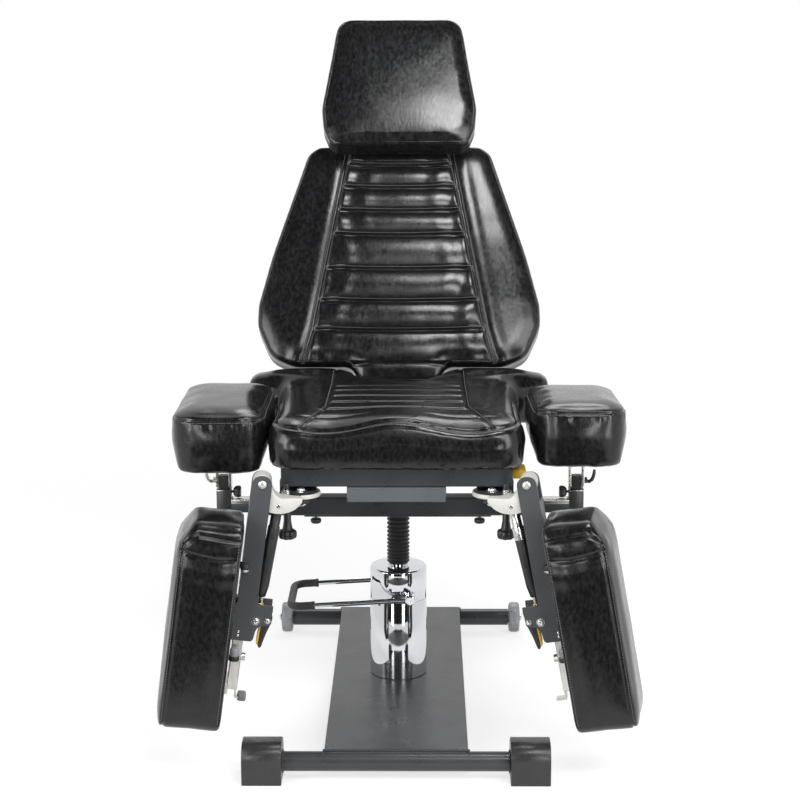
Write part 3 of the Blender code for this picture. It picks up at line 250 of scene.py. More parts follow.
rubber, tree, skin = new_finish("black_rubber", (0.016, 0.016, 0.017), 0.55)
shade(tree, skin, grain(tree, 35, 5.0), (0.012, 0.012, 0.012), (0.026, 0.026, 0.027))
spread(tree, grain(tree, 120, 4.0), skin.inputs["Roughness"], 0.42, 0.62)
emboss(tree, skin, grain(tree, 1100, 3.0), 0.12, 0.0003)

grey_rubber, tree, skin = new_finish("grey_rubber", (0.20, 0.20, 0.20), 0.6)
shade(tree, skin, grain(tree, 60, 4.0), (0.16, 0.16, 0.16), (0.24, 0.24, 0.24))
emboss(tree, skin, grain(tree, 1100, 3.0), 0.12, 0.0003)

milky, tree, skin = new_finish("milky_wheel_plastic", (0.36, 0.37, 0.39), 0.30)
shade(tree, skin, grain(tree, 40, 4.0), (0.30, 0.31, 0.33), (0.42, 0.43, 0.45))
spread(tree, grain(tree, 80, 3.0), skin.inputs["Roughness"], 0.24, 0.36)
skin.inputs["Transmission Weight"].default_value = 0.25
print("plastics and rubber mixed")

# %% [markdown]
# Boxy steelwork, such as the base plate, the seat frame and the leg bars, already has its right shape in
# the CAD. Those nodes stay and only need a finish and softened edges: Weld closes the imported facets,
# Bevel breaks each sharp edge by under a millimetre, and Weighted Normal keeps the flats flat.

# %% Dress the CAD nodes that stay
stays = {
    frame_coat: ("base_plate", "seat_frame", "cross_tube", "back_frame"),
    leg_coat: ("leg_bar_left", "leg_bar_right"),
    panel_coat: ("carrier_box",),
    stainless: ("pad_rail_left", "pad_rail_right", "headrest_post", "back_hinge_pin"),
    nickel: ("arm_yoke_left", "arm_yoke_right"),
    plastic: ("arm_stem_left", "arm_stem_right"),
}
for finish, names in stays.items():
    for name in names:
        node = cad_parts[name]
        node.data.materials.clear()
        node.data.materials.append(finish)
        node.modifiers.new("close", "WELD").merge_threshold = 0.00002
        soften = node.modifiers.new("soften", "BEVEL")
        soften.width = 0.0008
        soften.segments = 2
        soften.limit_method = "ANGLE"
        soften.angle_limit = radians(40)
        node.modifiers.new("flats", "WEIGHTED_NORMAL")
print("dressed", sum(len(names) for names in stays.values()), "CAD nodes")

# %% [markdown]
# Everything else is drawn again at a finer grain. Most mechanical pieces are one of four forms: turned on a
# lathe, bent from rod, cut from plate, or a block with softened edges. One helper each keeps the later
# cells short. The first two are the lathe and the bending jig: both lay rings of points and join each ring
# to the next.

# %% Helpers that turn and bend
AXIS_TURN = {"z": Matrix(), "x": Matrix.Rotation(pi / 2, 4, "Y"), "y": Matrix.Rotation(-pi / 2, 4, "X")}


def turned(profile, steps=64, axis="z", at=(0, 0, 0), place=Matrix()):
    """A profile of (radius, distance along the axis) turned round the axis."""
    shape = bmesh.new()
    rings = []
    for radius, along in profile:
        count = 1 if radius < 1e-7 else steps
        rings.append([shape.verts.new((radius * cos(2 * pi * n / steps), radius * sin(2 * pi * n / steps),
                                       along)) for n in range(count)])
    for low, high in zip(rings, rings[1:]):
        for n in range(steps):
            m = (n + 1) % steps
            corners = [low[n % len(low)], low[m % len(low)], high[m % len(high)], high[n % len(high)]]
            corners = [v for k, v in enumerate(corners) if v is not corners[k - 1]]
            if len(corners) > 2:
                shape.faces.new(corners)
    shape.transform(place @ Matrix.Translation(at) @ AXIS_TURN[axis])
    bmesh.ops.recalc_face_normals(shape, faces=shape.faces[:])
    return shape


def bent_rod(path, radius, sides=16, place=Matrix()):
    """A round rod along a path. radius is one number, or one for each point."""
    shape = bmesh.new()
    path = [Vector(p) for p in path]
    radii = radius if hasattr(radius, "__len__") else [radius] * len(path)
    run = (path[1] - path[0]).normalized()
    side = run.orthogonal().normalized()
    rings = []
    for k, here in enumerate(path):
        run = (path[min(k + 1, len(path) - 1)] - path[max(k - 1, 0)]).normalized()
        side = (side - run * side.dot(run)).normalized()
        other = run.cross(side)
        rings.append([shape.verts.new(here + (side * cos(2 * pi * n / sides) + other
                                              * sin(2 * pi * n / sides)) * radii[k]) for n in range(sides)])
    for low, high in zip(rings, rings[1:]):
        for n in range(sides):
            shape.faces.new((low[n], low[(n + 1) % sides], high[(n + 1) % sides], high[n]))
    shape.faces.new(rings[0][::-1])
    shape.faces.new(rings[-1])
    shape.transform(place)
    bmesh.ops.recalc_face_normals(shape, faces=shape.faces[:])
    return shape


print("lathe and bending jig ready")

# %% [markdown]
# Plate and bar come with edges that a grinder has broken. A block is a cube stretched to size, a plate is
# an outline given depth, and both have their sharp edges bevelled, because an edge without any radius never
# catches the light.

# %% Helpers for blocks and plates


def soften_edges(shape, width, rounds=2, least=radians(30)):
    edges = [e for e in shape.edges if len(e.link_faces) == 2 and e.calc_face_angle() > least]
    if width > 0 and edges:
        bmesh.ops.bevel(shape, geom=edges, offset=width, segments=rounds, profile=0.5, affect="EDGES",
                        clamp_overlap=True)
    return shape


def block(low, high, edge=0.001, place=Matrix()):
    shape = bmesh.new()
    bmesh.ops.create_cube(shape, size=1)
    size = [b - a for a, b in zip(low, high)]
    middle = [(a + b) / 2 for a, b in zip(low, high)]
    shape.transform(Matrix.Translation(middle) @ Matrix.Diagonal((*size, 1)))
    soften_edges(shape, edge)
    shape.transform(place)
    bmesh.ops.recalc_face_normals(shape, faces=shape.faces[:])
    return shape


def cut_plate(outline, start, end, lay, edge=0.0008):
    """An outline given thickness. lay turns (across, along, depth) into a place."""
    shape = bmesh.new()
    near = [shape.verts.new(lay(a, b, start)) for a, b in outline]
    far = [shape.verts.new(lay(a, b, end)) for a, b in outline]
    shape.faces.new(near)
    shape.faces.new(far[::-1])
    for k in range(len(outline)):
        m = (k + 1) % len(outline)
        shape.faces.new((near[k], near[m], far[m], far[k]))
    bmesh.ops.recalc_face_normals(shape, faces=shape.faces[:])
    return soften_edges(shape, edge, least=radians(50))


print("block and plate helpers ready")

# %% [markdown]
# Some pieces are welded or pressed together from several shapes, so one helper joins shapes into one mesh.
# The last helper names the piece, smooths all but its sharp edges, hands it to the body that it moves with
# and hides the CAD node that it stands for.

# %% Helpers that join a piece and hand it over


def joined(*shapes):
    """Several shapes in one, as pieces that are welded or pressed together."""
    whole = bmesh.new()
    for shape in shapes:
        mesh = bpy.data.meshes.new("joining")
        shape.to_mesh(mesh)
        shape.free()
        whole.from_mesh(mesh)
        bpy.data.meshes.remove(mesh)
    return whole


def hand_over(name, shape, finish, body, slot, *nodes, crease=radians(38)):
    """Makes the piece, smooth but for sharp edges, and rides it on its body."""
    for face in shape.faces:
        face.smooth = True
    for edge in shape.edges:
        edge.smooth = len(edge.link_faces) == 2 and edge.calc_face_angle() < crease
    mesh = bpy.data.meshes.new(name)
    shape.to_mesh(mesh)
    shape.free()
    mesh.materials.append(finish)
    piece = bpy.data.objects.new(name, mesh)
    bpy.context.collection.objects.link(piece)
    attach(piece, body)
    if nodes:
        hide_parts(*nodes)


HOME = Matrix.Translation((0, PUMP_Y, 0))      # sizes below are measured from the pump's axis
SIDES = (("left", -1), ("right", 1))           # the sign of x on each side
print("joining helpers ready")

# %% [markdown]
# The chair stands on a steel plate welded across two tubes. The front tube ends in two moulded feet, the
# rear one carries an axle with two wheels, so that the chair can be tipped and rolled. The tubes are turned
# with many sides, and each foot is a D-shaped outline given depth, because that is how its mould is cut.

# %% Tubes, weld beads and feet


def rounded_outline(corners, steps=8):
    """A closed line through (a, b, radius) corners, each corner rounded."""
    line = []
    for k, (a, b, radius) in enumerate(corners):
        here = Vector((a, b))
        back = (Vector(corners[k - 1][:2]) - here).normalized()
        on = (Vector(corners[(k + 1) % len(corners)][:2]) - here).normalized()
        half = back.angle(on) / 2
        if radius <= 0 or half > 1.55:
            line.append((a, b))
            continue
        centre = here + (back + on).normalized() * (radius / sin(half))
        first = here + back * (radius * cos(half) / sin(half)) - centre
        last = here + on * (radius * cos(half) / sin(half)) - centre
        start = atan2(first.y, first.x)
        sweep = (atan2(last.y, last.x) - start + pi) % (2 * pi) - pi
        for n in range(steps + 1):
            turn = start + sweep * n / steps
            line.append((centre.x + radius * cos(turn), centre.y + radius * sin(turn)))
    return line


def weld_bead(points, size, place=HOME):
    """A rippled seam of weld metal along straight runs."""
    path, sizes = [], []
    for start, end in zip(points, points[1:]):
        start, end = Vector(start), Vector(end)
        count = max(3, int((end - start).length / 0.0012))
        for n in range(count):
            path.append(start.lerp(end, n / count))
            sizes.append(size * (1 + 0.22 * sin(n * 2.1) + 0.15 * noise.noise(path[-1] * 300)))
    return bent_rod(path, sizes, 8, place)


TUBE_R, TUBE_Z, FRONT_Y, REAR_Y = 0.018, 0.033, -0.403, 0.395
for name, y in (("front_tube", FRONT_Y), ("rear_tube", REAR_Y)):
    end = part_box(name)[1].x
    shape = turned([(0, -end), (TUBE_R - 0.001, -end), (TUBE_R, 0.001 - end), (TUBE_R, end - 0.001),
                    (TUBE_R - 0.001, end), (0, end)], 64, "x", (0, y, TUBE_Z), HOME)
    hand_over("base_" + name, shape, frame_coat, "base", "paint", name)
beads = [weld_bead([(-0.129, y, 0.0508), (0.129, y, 0.0508)], 0.0016)
         for y in (FRONT_Y - 0.0028, REAR_Y + 0.0028)]
beads += [weld_bead([(s * 0.1315, y - 0.009, 0.0498), (s * 0.1318, y + 0.012, 0.0498)], 0.0020)
          for s in (-1, 1) for y in (FRONT_Y, REAR_Y)]
hand_over("base_weld_beads", joined(*beads), frame_coat, "base", "paint")

FOOT_IN, FOOT_OUT = 0.2063, 0.2783
foot_line = rounded_outline([(-0.0375, 0, 0.003), (0.0375, 0, 0.003), (0.0375, 0.075, 0.030),
                             (-0.0375, 0.075, 0.030)])
for side, sign in SIDES:
    shape = cut_plate(foot_line, sign * FOOT_IN, sign * FOOT_OUT,
                      lambda a, b, h: HOME @ Vector((h, FRONT_Y + a, b)), 0.0016)
    collar = turned([(TUBE_R, 0), (0.0215, 0), (0.0215, 0.0015), (0.0205, 0.0025), (TUBE_R, 0.0025)], 48, "x",
                    (sign * FOOT_IN - (0.0024 if sign > 0 else 0), FRONT_Y, TUBE_Z), HOME)
    hand_over("moulded_foot_" + side, joined(shape, collar), foot_plastic, "base", "plastic",
              "front_foot_" + side)
print("base tubes, beads and feet placed")

# %% [markdown]
# The wheels are moulded discs with a raised hub, a thin web and a rounded tread, all round the axle, so a
# lathe profile holds every step of them. A domed nut closes each end of the axle.

# %% Wheels and axle
wheel_half, WHEEL_X, AXLE_R = 0.0125, 0.2518, 0.005
rim = [(0.0062, wheel_half - 0.003), (0.0062, wheel_half - 0.0005), (0.0130, wheel_half),
       (0.0140, wheel_half - 0.001), (0.0150, wheel_half - 0.004), (0.0230, wheel_half - 0.0045),
       (0.0255, wheel_half - 0.003), (0.0290, wheel_half - 0.0010), (0.0312, wheel_half - 0.0022),
       (0.0326, wheel_half - 0.0045), (0.0330, wheel_half - 0.0075)]
rim = rim + [(r, -along) for r, along in reversed(rim)]
for side, sign in SIDES:
    shape = turned(rim + rim[:1], 72, "x", (sign * WHEEL_X, REAR_Y, TUBE_Z), HOME)
    hand_over("rear_wheel_" + side, shape, milky, "wheel_" + side, "wheel", "wheel_" + side)
axle_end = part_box("rear_axle")[1].x
parts = [turned([(0, -axle_end + 0.004), (AXLE_R, -axle_end + 0.004), (AXLE_R, axle_end - 0.004),
                 (0, axle_end - 0.004)], 32, "x", (0, REAR_Y, TUBE_Z), HOME)]
for sign in (-1, 1):
    nut = [(0, 0), (0.0045, -0.0004), (0.0072, -0.0018), (0.0084, -0.0032), (0.0084, -0.0050), (0, -0.0050)]
    parts.append(turned([(r, sign * (axle_end + h)) for r, h in nut], 6, "x", (0, REAR_Y, TUBE_Z), HOME))
    parts.append(turned([(AXLE_R, sign * (axle_end - 0.0050)), (0.009, sign * (axle_end - 0.0050)),
                         (0.009, sign * (axle_end - 0.0038)), (AXLE_R, sign * (axle_end - 0.0038))], 32, "x",
                        (0, REAR_Y, TUBE_Z), HOME))
hand_over("wheel_axle", joined(*parts), zinc, "base", "steel", "rear_axle")
print("wheels and axle placed")

# %% [markdown]
# The pump is a chromed oil cylinder with a turned cap. A mirror surface shows every facet, so it is turned
# with ninety-six sides, and a narrow groove marks the seam of cap and barrel. The cap has a socket on each
# side for the pedal shaft, and a drilled pin runs through it.

# %% Pump barrel, cap and ram
PUMP_R, CAP_SEAM = 0.0565, 0.215
shape = turned([(0, 0.0566), (0.0556, 0.0566), (PUMP_R, 0.0574), (PUMP_R, CAP_SEAM - 0.0014),
                (PUMP_R - 0.0005, CAP_SEAM - 0.0004), (0.02, CAP_SEAM - 0.0004)], 96, place=HOME)
hand_over("pump_cylinder", shape, chrome, "base", "chrome", "pump_barrel")
PEDAL_X, PEDAL_Z = 0.024, 0.2285
cap = turned([(0.0172, 0.2845), (0.0192, 0.2845), (0.0200, 0.2838), (0.0200, 0.2796), (0.0206, 0.2790),
              (0.0515, 0.2790), (0.0540, 0.2785), (0.0557, 0.2770), (PUMP_R, 0.2748),
              (PUMP_R, CAP_SEAM + 0.0011), (PUMP_R - 0.0006, CAP_SEAM), (0.02, CAP_SEAM)], 96, place=HOME)
boss = [(0.0055, 0.0664), (0.0095, 0.0664), (0.0105, 0.0656), (0.0105, 0.046), (0.0125, 0.043)]
bosses = [turned([(r, sign * along) for r, along in boss], 40, "y", (PEDAL_X, 0, PEDAL_Z), HOME)
          for sign in (-1, 1)]
hand_over("pump_top_cap", joined(cap, *bosses), chrome, "base", "chrome", "pump_cap")
pin_end, PIN_R = 0.0775, 0.005
head = [(0, -0.001), (0.0024, -0.001), (0.0026, 0.003), (0.0078, 0.003), (0.0085, 0.0023), (0.0085, 0),
        (0.005, 0)]
pins = [turned([(r, sign * (pin_end + along)) for r, along in head], 40, "y", (PEDAL_X, 0, PEDAL_Z), HOME)
        for sign in (-1, 1)]
pins.append(turned([(PIN_R, -pin_end), (PIN_R, pin_end)], 32, "y", (PEDAL_X, 0, PEDAL_Z), HOME))
hand_over("pedal_shaft", joined(*pins), chrome, "base", "steel", "pedal_pivot_pin")
shape = turned([(0, 0.1152), (0.0155, 0.1152), (0.0165, 0.1162), (0.0165, 0.4660), (0.0158, 0.4668),
                (0, 0.4668)], 64, place=HOME)
hand_over("lift_ram", shape, chrome, "ram", "chrome", "ram_rod")
shape = turned([(0, 0.4766), (0.0568, 0.4766), (0.0580, 0.4756), (0.0580, 0.4677), (0.0570, 0.4666),
                (0.0330, 0.4666), (0.0306, 0.4655), (0.0300, 0.4630), (0.0300, 0.4478), (0.0290, 0.4466),
                (0.0168, 0.4466)], 72, place=HOME)
hand_over("ram_flange", shape, frame_coat, "ram", "paint", "ram_head")
print("pump placed")

# %% [markdown]
# A rubber bellows keeps dust off the ram. Its folds hang closer together near the bottom, where their own
# weight closes them. The real one stretches as the seat rises, but here it is drawn once, at rest, and rides
# on no body.

# %% Bellows
folds = 19
low, high = 0.2848, 0.4463
steps = [1.22 - 0.44 * (n + 0.5) / folds for n in range(folds)]
profile = [(0.0171, high), (0.0196, high)]
reach = high
for n in range(folds):
    tall = steps[n] * (high - low) / sum(steps)
    profile += [(0.0180, reach - 0.05 * tall), (0.0208, reach - 0.26 * tall), (0.0225, reach - 0.44 * tall),
                (0.0225, reach - 0.56 * tall), (0.0208, reach - 0.74 * tall), (0.0180, reach - 0.95 * tall)]
    reach -= tall
profile += [(0.0196, low), (0.0171, low), (0.0171, high)]
shape = turned(profile, 56, place=HOME)
for face in shape.faces:
    face.smooth = True
mesh = bpy.data.meshes.new("ram_bellows")
shape.to_mesh(mesh)
shape.free()
mesh.materials.append(rubber)
bellows = bpy.data.objects.new("ram_bellows", mesh)
bpy.context.collection.objects.link(bellows)
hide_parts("bellows")
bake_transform(bellows)
print("bellows with", folds, "folds")

# %% [markdown]
# The pedal is one chromed rod bent into a long loop, with an eye on each end for the shaft and a rubber
# sleeve pulled round its outer end. The sleeve is fluted lengthwise, so its rod has many sides with every
# third edge sunk.

# %% Pedal
PEDAL = HOME @ Matrix.Translation((PEDAL_X, 0, PEDAL_Z)) @ Matrix.Rotation(-radians(3.4), 4, "Y")
PEDAL_HALF, PEDAL_REACH, PEDAL_BEND = 0.072, 0.236, 0.022


def pedal_line(start, bend_steps=12):
    line = [(-start - (PEDAL_REACH - PEDAL_BEND - start) * n / 6, -PEDAL_HALF, 0) for n in range(6)]
    for n in range(bend_steps + 1):
        turn = pi / 2 * n / bend_steps
        line.append((-PEDAL_REACH + PEDAL_BEND * (1 - sin(turn)),
                     -PEDAL_HALF + PEDAL_BEND * (1 - cos(turn)), 0))
    return line + [(x, -y, z) for x, y, z in reversed(line)]


eye = [(0.0056, -0.005), (0.0092, -0.005), (0.0100, -0.0042), (0.0100, 0.0042), (0.0092, 0.005),
       (0.0056, 0.005), (0.0056, -0.005)]
eyes = [turned(eye, 40, "y", (0, sign * PEDAL_HALF, 0), PEDAL) for sign in (-1, 1)]
hand_over("pedal_loop", joined(bent_rod(pedal_line(0.0085), 0.005, 24, PEDAL), *eyes), chrome, "pedal",
          "chrome", "pedal_bar")
sleeve = bent_rod(pedal_line(0.188), 0.0078, 36, PEDAL)
centre_line = [PEDAL @ Vector(p) for p in pedal_line(0.188)]
for k, v in enumerate(sleeve.verts):
    if (k % 36) % 3 == 0:
        middle = centre_line[k // 36]
        v.co = middle + (v.co - middle) * 0.90
cuffs = []
for sign in (-1, 1):
    cuff = [(0.0052, 0), (0.0080, 0), (0.0084, 0.0008), (0.0084, 0.0052), (0.0080, 0.006), (0.0052, 0.006)]
    cuffs.append(turned(cuff, 32, "x", (-0.194, sign * PEDAL_HALF, 0), PEDAL))
hand_over("pedal_sleeve", joined(sleeve, *cuffs), rubber, "pedal", "rubber", "pedal_grip", crease=radians(60))
print("pedal bent")

# %% [markdown]
# Hand knobs clamp every adjustment. Each is a moulded grip on a bright threaded stud: big lobed ones hold
# the leg swivels and small mushroom ones hold the arm bars. The grip is a lathe form whose rim is pushed in
# and out round the turn, which gives the finger lobes.

# %% Helper for lobed grips, and the knobs under the seat


def lobed(profile, count, depth, rows, steps=84, axis="z", at=(0, 0, 0), place=Matrix()):
    shape = turned(profile, steps)
    shape.verts.ensure_lookup_table()
    start = 0
    for k, (radius, _) in enumerate(profile):
        size = 1 if radius < 1e-7 else steps
        if k in rows:
            for n in range(size):
                v = shape.verts[start + n]
                pull = 1 - depth * (0.5 - 0.5 * cos(2 * pi * count * n / steps)) ** 2
                v.co.x, v.co.y = v.co.x * pull, v.co.y * pull
        start += size
    shape.transform(place @ Matrix.Translation(at) @ AXIS_TURN[axis])
    bmesh.ops.recalc_face_normals(shape, faces=shape.faces[:])
    return shape


def threaded(radius, low, high, pitch=0.0015, **where):
    """A stud with the sawtooth of its thread, as rings."""
    rows = [(0, low)]
    count = int((high - low) / pitch)
    for n in range(count):
        base = low + n * (high - low) / count
        rows += [(radius * 0.86, base), (radius, base + pitch * 0.5)]
    rows += [(radius * 0.86, high), (0, high)]
    return turned(rows, 24, **where)


SWING_X, SWING_Y, KNOB_X, KNOB_Y, LUG_Z = 0.1747, -0.262, 0.2027, -0.234, 0.480
CROSS_Y, CROSS_Z, CLAMP_X = -0.082, 0.426, 0.1585
for side, sign in SIDES:
    at = HOME @ Matrix.Translation((sign * KNOB_X, KNOB_Y, LUG_Z))
    grip = lobed([(0, -0.018), (0.0062, -0.018), (0.0068, -0.019), (0.0070, -0.043), (0.0094, -0.058),
                  (0.0120, -0.0605), (0.0158, -0.0618), (0.0172, -0.0652), (0.0172, -0.0720),
                  (0.0160, -0.0755), (0.0130, -0.0770), (0.0100, -0.0765), (0.0098, -0.0758), (0, -0.0758)],
                 7, 0.16, (5, 6, 7, 8, 9, 10), place=at)
    hand_over("swivel_knob_" + side, grip, plastic, "swing_clamp_" + side, "plastic", "swing_knob_" + side)
    stud = threaded(0.004, -0.019, 0.0108, place=at)
    washer = turned([(0.004, -0.0158), (0.0078, -0.0158), (0.0078, -0.0176), (0.004, -0.0176)], 32, place=at)
    button = turned([(0, -0.0757), (0.0088, -0.0757), (0.0093, -0.0762), (0.0085, -0.0768), (0, -0.0770)], 40,
                    place=at)
    hand_over("swivel_knob_stud_" + side, joined(stud, washer, button), zinc, "swing_clamp_" + side, "steel")
    at = HOME @ Matrix.Translation((sign * CLAMP_X, CROSS_Y, CROSS_Z - 0.01325))
    cap = lobed([(0, -0.0140), (0.0075, -0.0142), (0.0098, -0.0155), (0.0106, -0.0178), (0.0104, -0.0212),
                 (0.0086, -0.0236), (0.0050, -0.0245), (0, -0.0245)], 12, 0.06, (2, 3, 4), place=at)
    hand_over("arm_clamp_knob_" + side, cap, plastic, "slide_clamp_" + side, "plastic", "slide_knob_" + side)
    hand_over("arm_clamp_stud_" + side, threaded(0.003, -0.0142, -0.0004, place=at), zinc,
              "slide_clamp_" + side, "steel")
print("knobs under the seat placed")

# %% [markdown]
# Each leg rest swivels on a bolt with a star-shaped head, so that it can't be undone with a common spanner.
# Its washer and nut show from below. The backrest lever beside the seat has a mustard coloured grip on a
# flat steel arm.

# %% Swivel bolts, backrest lever and weld beads on the carrier
DISC_Z, DISC_T = 0.494, 0.008
for side, sign in SIDES:
    at = HOME @ Matrix.Translation((sign * SWING_X, SWING_Y, DISC_Z + DISC_T))
    star = lobed([(0, 0.0024), (0.0028, 0.0024), (0.0030, 0.0045), (0.0060, 0.0045), (0.0068, 0.0037),
                  (0.0072, 0.0012), (0.004, 0.0012)], 6, 0.20, (3, 4, 5), 72, place=at)
    ring = turned([(0.004, 0.0003), (0.0098, 0.0003), (0.0100, 0.0008), (0.0094, 0.0013), (0.004, 0.0013)],
                  40, place=at)
    drop = LUG_Z - DISC_Z - DISC_T
    nut = turned([(0, drop - 0.0060), (0.0070, drop - 0.0060), (0.0080, drop - 0.0050),
                  (0.0080, drop - 0.0003), (0.004, drop - 0.0003)], 6, place=at)
    shank = turned([(0.004, drop), (0.004, 0.002)], 24, place=at)
    hand_over("swivel_bolt_" + side, joined(star, ring, nut, shank), zinc, "seat", "steel",
              "leg_swing_bolt_" + side)
LEVER = HOME @ Matrix.Translation((0.2125, -0.030, 0.520))
grip = block((0.003, -0.146, -0.019), (0.030, -0.096, -0.001), 0.0045, LEVER)
hand_over("backrest_lever_grip", grip, lever_coat, "recline_handle", "yellow", "recline_lever")
blade = block((0.001, -0.104, -0.007), (0.005, 0.008, 0.005), 0.001, LEVER)
shaft = turned([(0, -0.028), (0.0042, -0.028), (0.0042, 0.004), (0, 0.004)], 24, "x", (0, 0, 0), LEVER)
nut = turned([(0, 0.0075), (0.0045, 0.0075), (0.0055, 0.0060), (0.0055, 0.0048), (0, 0.0048)], 6, "x",
             (0, 0, 0), LEVER)
hand_over("backrest_lever_arm", joined(blade, shaft, nut), zinc, "recline_handle", "steel")
beads = [weld_bead([(sign * 0.030, -0.2512, 0.5035), (sign * 0.078, -0.2512, 0.5035)], 0.0018)
         for sign in (-1, 1)]
beads += [weld_bead([(sign * 0.0925, -0.200, 0.5050), (sign * 0.0925, -0.120, 0.5050)], 0.0018)
          for sign in (-1, 1)]
hand_over("carrier_weld_beads", joined(*beads), panel_coat, "seat", "panel")
print("seat hardware placed")

# %% [markdown]
# An armrest slides sideways on a bar inside the cross tube: a black carrier with a bright strip on it. A
# black square socket stands on the bar's end, the post slides in it, and a nickel yoke on top lets the pad
# tilt. The CAD joins all this in one node, so the scene draws it as several pieces in two finishes, the
# socket as a real open tube.

# %% Arm bars, sockets, knobs and tilt levers


def square_tube(outer, inner, low, high, place):
    """An upright square tube, open at both ends."""
    shape = bmesh.new()
    rows = []
    for half, z in ((outer, low), (outer, high), (inner, high), (inner, low)):
        rows.append([shape.verts.new((a * half, b * half, z))
                     for a, b in ((-1, -1), (1, -1), (1, 1), (-1, 1))])
    for first, second in zip(rows, rows[1:] + rows[:1]):
        for n in range(4):
            shape.faces.new((first[n], first[(n + 1) % 4], second[(n + 1) % 4], second[n]))
    bmesh.ops.recalc_face_normals(shape, faces=shape.faces[:])
    soften_edges(shape, 0.0008)
    shape.transform(place)
    return shape


ARM_X = {"left": 0.335, "right": 0.344}
TILT_Z, SOCKET_LOW, SOCKET_TOP = 0.4745, 0.358, 0.4584
TILT = {"left": 0.0, "right": radians(4)}
post_grip = [(0, 0.0040), (0.0070, 0.0042), (0.0080, 0.0055), (0.0108, 0.0085), (0.0116, 0.0120),
             (0.0114, 0.0160), (0.0098, 0.0183), (0, 0.0185)]
tilt_frame = {}
for side, sign in SIDES:
    at = HOME @ Matrix.Translation((sign * ARM_X[side], CROSS_Y, CROSS_Z))
    ends = sorted((sign * -0.275, sign * -0.012))
    strip = block((ends[0], -0.01325, 0.0040), (ends[1], 0.01325, 0.01325), 0.0016, at)
    hand_over("arm_bar_" + side, strip, nickel, "arm_" + side, "chrome", "arm_slider_" + side)
    carrier = block((ends[0], -0.01325, -0.01325), (ends[1], 0.01325, 0.0042), 0.0016, at)
    hand_over("arm_bar_carrier_" + side, carrier, frame_coat, "arm_" + side, "paint")
    socket = square_tube(0.014, 0.01025, SOCKET_LOW - CROSS_Z, SOCKET_TOP - CROSS_Z, at)
    hand_over("arm_socket_" + side, socket, frame_coat, "arm_" + side, "paint")
    collar = square_tube(0.0147, 0.0141, SOCKET_TOP - CROSS_Z - 0.0032, SOCKET_TOP - CROSS_Z - 0.0006, at)
    hand_over("arm_socket_collar_" + side, collar, nickel, "arm_" + side, "chrome")
    knob_at = HOME @ Matrix.Translation((sign * (ARM_X[side] - 0.014), CROSS_Y, SOCKET_TOP - 0.0065))
    knob = lobed([(r, -sign * d) for r, d in post_grip], 6, 0.14, (3, 4, 5, 6), 72, "x", (0, 0, 0), knob_at)
    hand_over("arm_height_knob_" + side, knob, plastic, "height_clamp_" + side, "plastic",
              "height_knob_" + side)
    stud = threaded(0.003, *sorted((sign * 0.0034, -sign * 0.0045)), axis="x", place=knob_at)
    hand_over("arm_height_stud_" + side, stud, zinc, "height_clamp_" + side, "steel")
    hinge = HOME @ Matrix.Translation((sign * ARM_X[side], CROSS_Y, TILT_Z))
    tilt_frame[side] = hinge @ Matrix.Rotation(-TILT[side], 4, "X")
    at = tilt_frame[side] @ Matrix.Translation((sign * 0.015, 0, 0))
    hub = turned([(r, sign * d) for r, d in ((0, 0.0003), (0.006, 0.0003), (0.006, 0.0052), (0.0052, 0.006),
                                             (0, 0.006))], 32, "x", (0, 0, 0), at)
    curl = [(0.003, -0.0005), (0.010, -0.0030), (0.0155, 0.0010), (0.0182, 0.0075), (0.0196, 0.0145),
            (0.0200, 0.0205)]
    arm = bent_rod([(sign * a, 0, b) for a, b in curl], (0.0034, 0.0036, 0.0036, 0.0034, 0.0032, 0.0026),
                   16, at)
    hand_over("arm_tilt_lever_" + side, joined(hub, arm), nickel if side == "left" else plastic,
              "tilt_clamp_" + side, "steel", "tilt_lever_" + side)
print("arm hardware placed")

# %% [markdown]
# A leg rest hangs from an ivory casting that swivels under the seat. The casting is a disc with two cheeks
# on it; the cheeks hold the hinge bolt, and the gas spring runs up between them. Each cheek is an outline
# given depth, and a shorter core joins them above the slot for the spring. Frames for the swivel and the
# leg come first.

# %% Leg frames and swivel castings
SWING = {"left": radians(84.5), "right": radians(79.5)}
HANG = {"left": radians(8), "right": radians(10.5)}
LEG_Z, LEG_REACH, LEG_IN = 0.5305, 0.071, 0.035
CHEEK_IN, CHEEK_OUT = 0.0125, 0.018
DISC_TOP = DISC_Z + DISC_T - LEG_Z
swing_frame, leg_frame = {}, {}
for side, sign in SIDES:
    face = -sign                      # the way along the leg's own y axis that its hardware stands
    turn = 3 * pi / 2 - SWING[side] if side == "left" else SWING[side] - pi / 2
    pivot = HOME @ Matrix.Translation((sign * SWING_X, SWING_Y, LEG_Z))
    swing_frame[side] = pivot @ Matrix.Rotation(turn, 4, "Z")
    leg_frame[side] = (swing_frame[side] @ Matrix.Translation((LEG_REACH, face * LEG_IN, 0))
                       @ Matrix.Rotation(-HANG[side], 4, "Y"))
barrel = [(0.0165 * cos(pi * n / 20), 0.0165 * sin(pi * n / 20)) for n in range(21)]
lower = [(-0.0180, -0.010), (-0.0205, -0.016), (-0.0240, -0.0215), (-0.0290, -0.0260), (-0.0345, DISC_TOP),
         (-0.070, DISC_TOP), (-0.0716, -0.032), (-0.0708, -0.0370), (-0.067, -0.0415), (-0.0625, -0.0457),
         (-0.058, -0.0495), (-0.052, -0.0527), (-0.046, -0.0550)]
cheek_line = barrel + lower + [(-0.0385, -0.0565), (-0.031, -0.0570), (-0.0245, -0.0566), (-0.018, -0.0555),
                               (-0.0112, -0.0533), (-0.005, -0.0500), (0.0010, -0.0450), (0.006, -0.0390),
                               (0.0104, -0.0290), (0.0135, -0.0180), (0.0158, -0.008)]
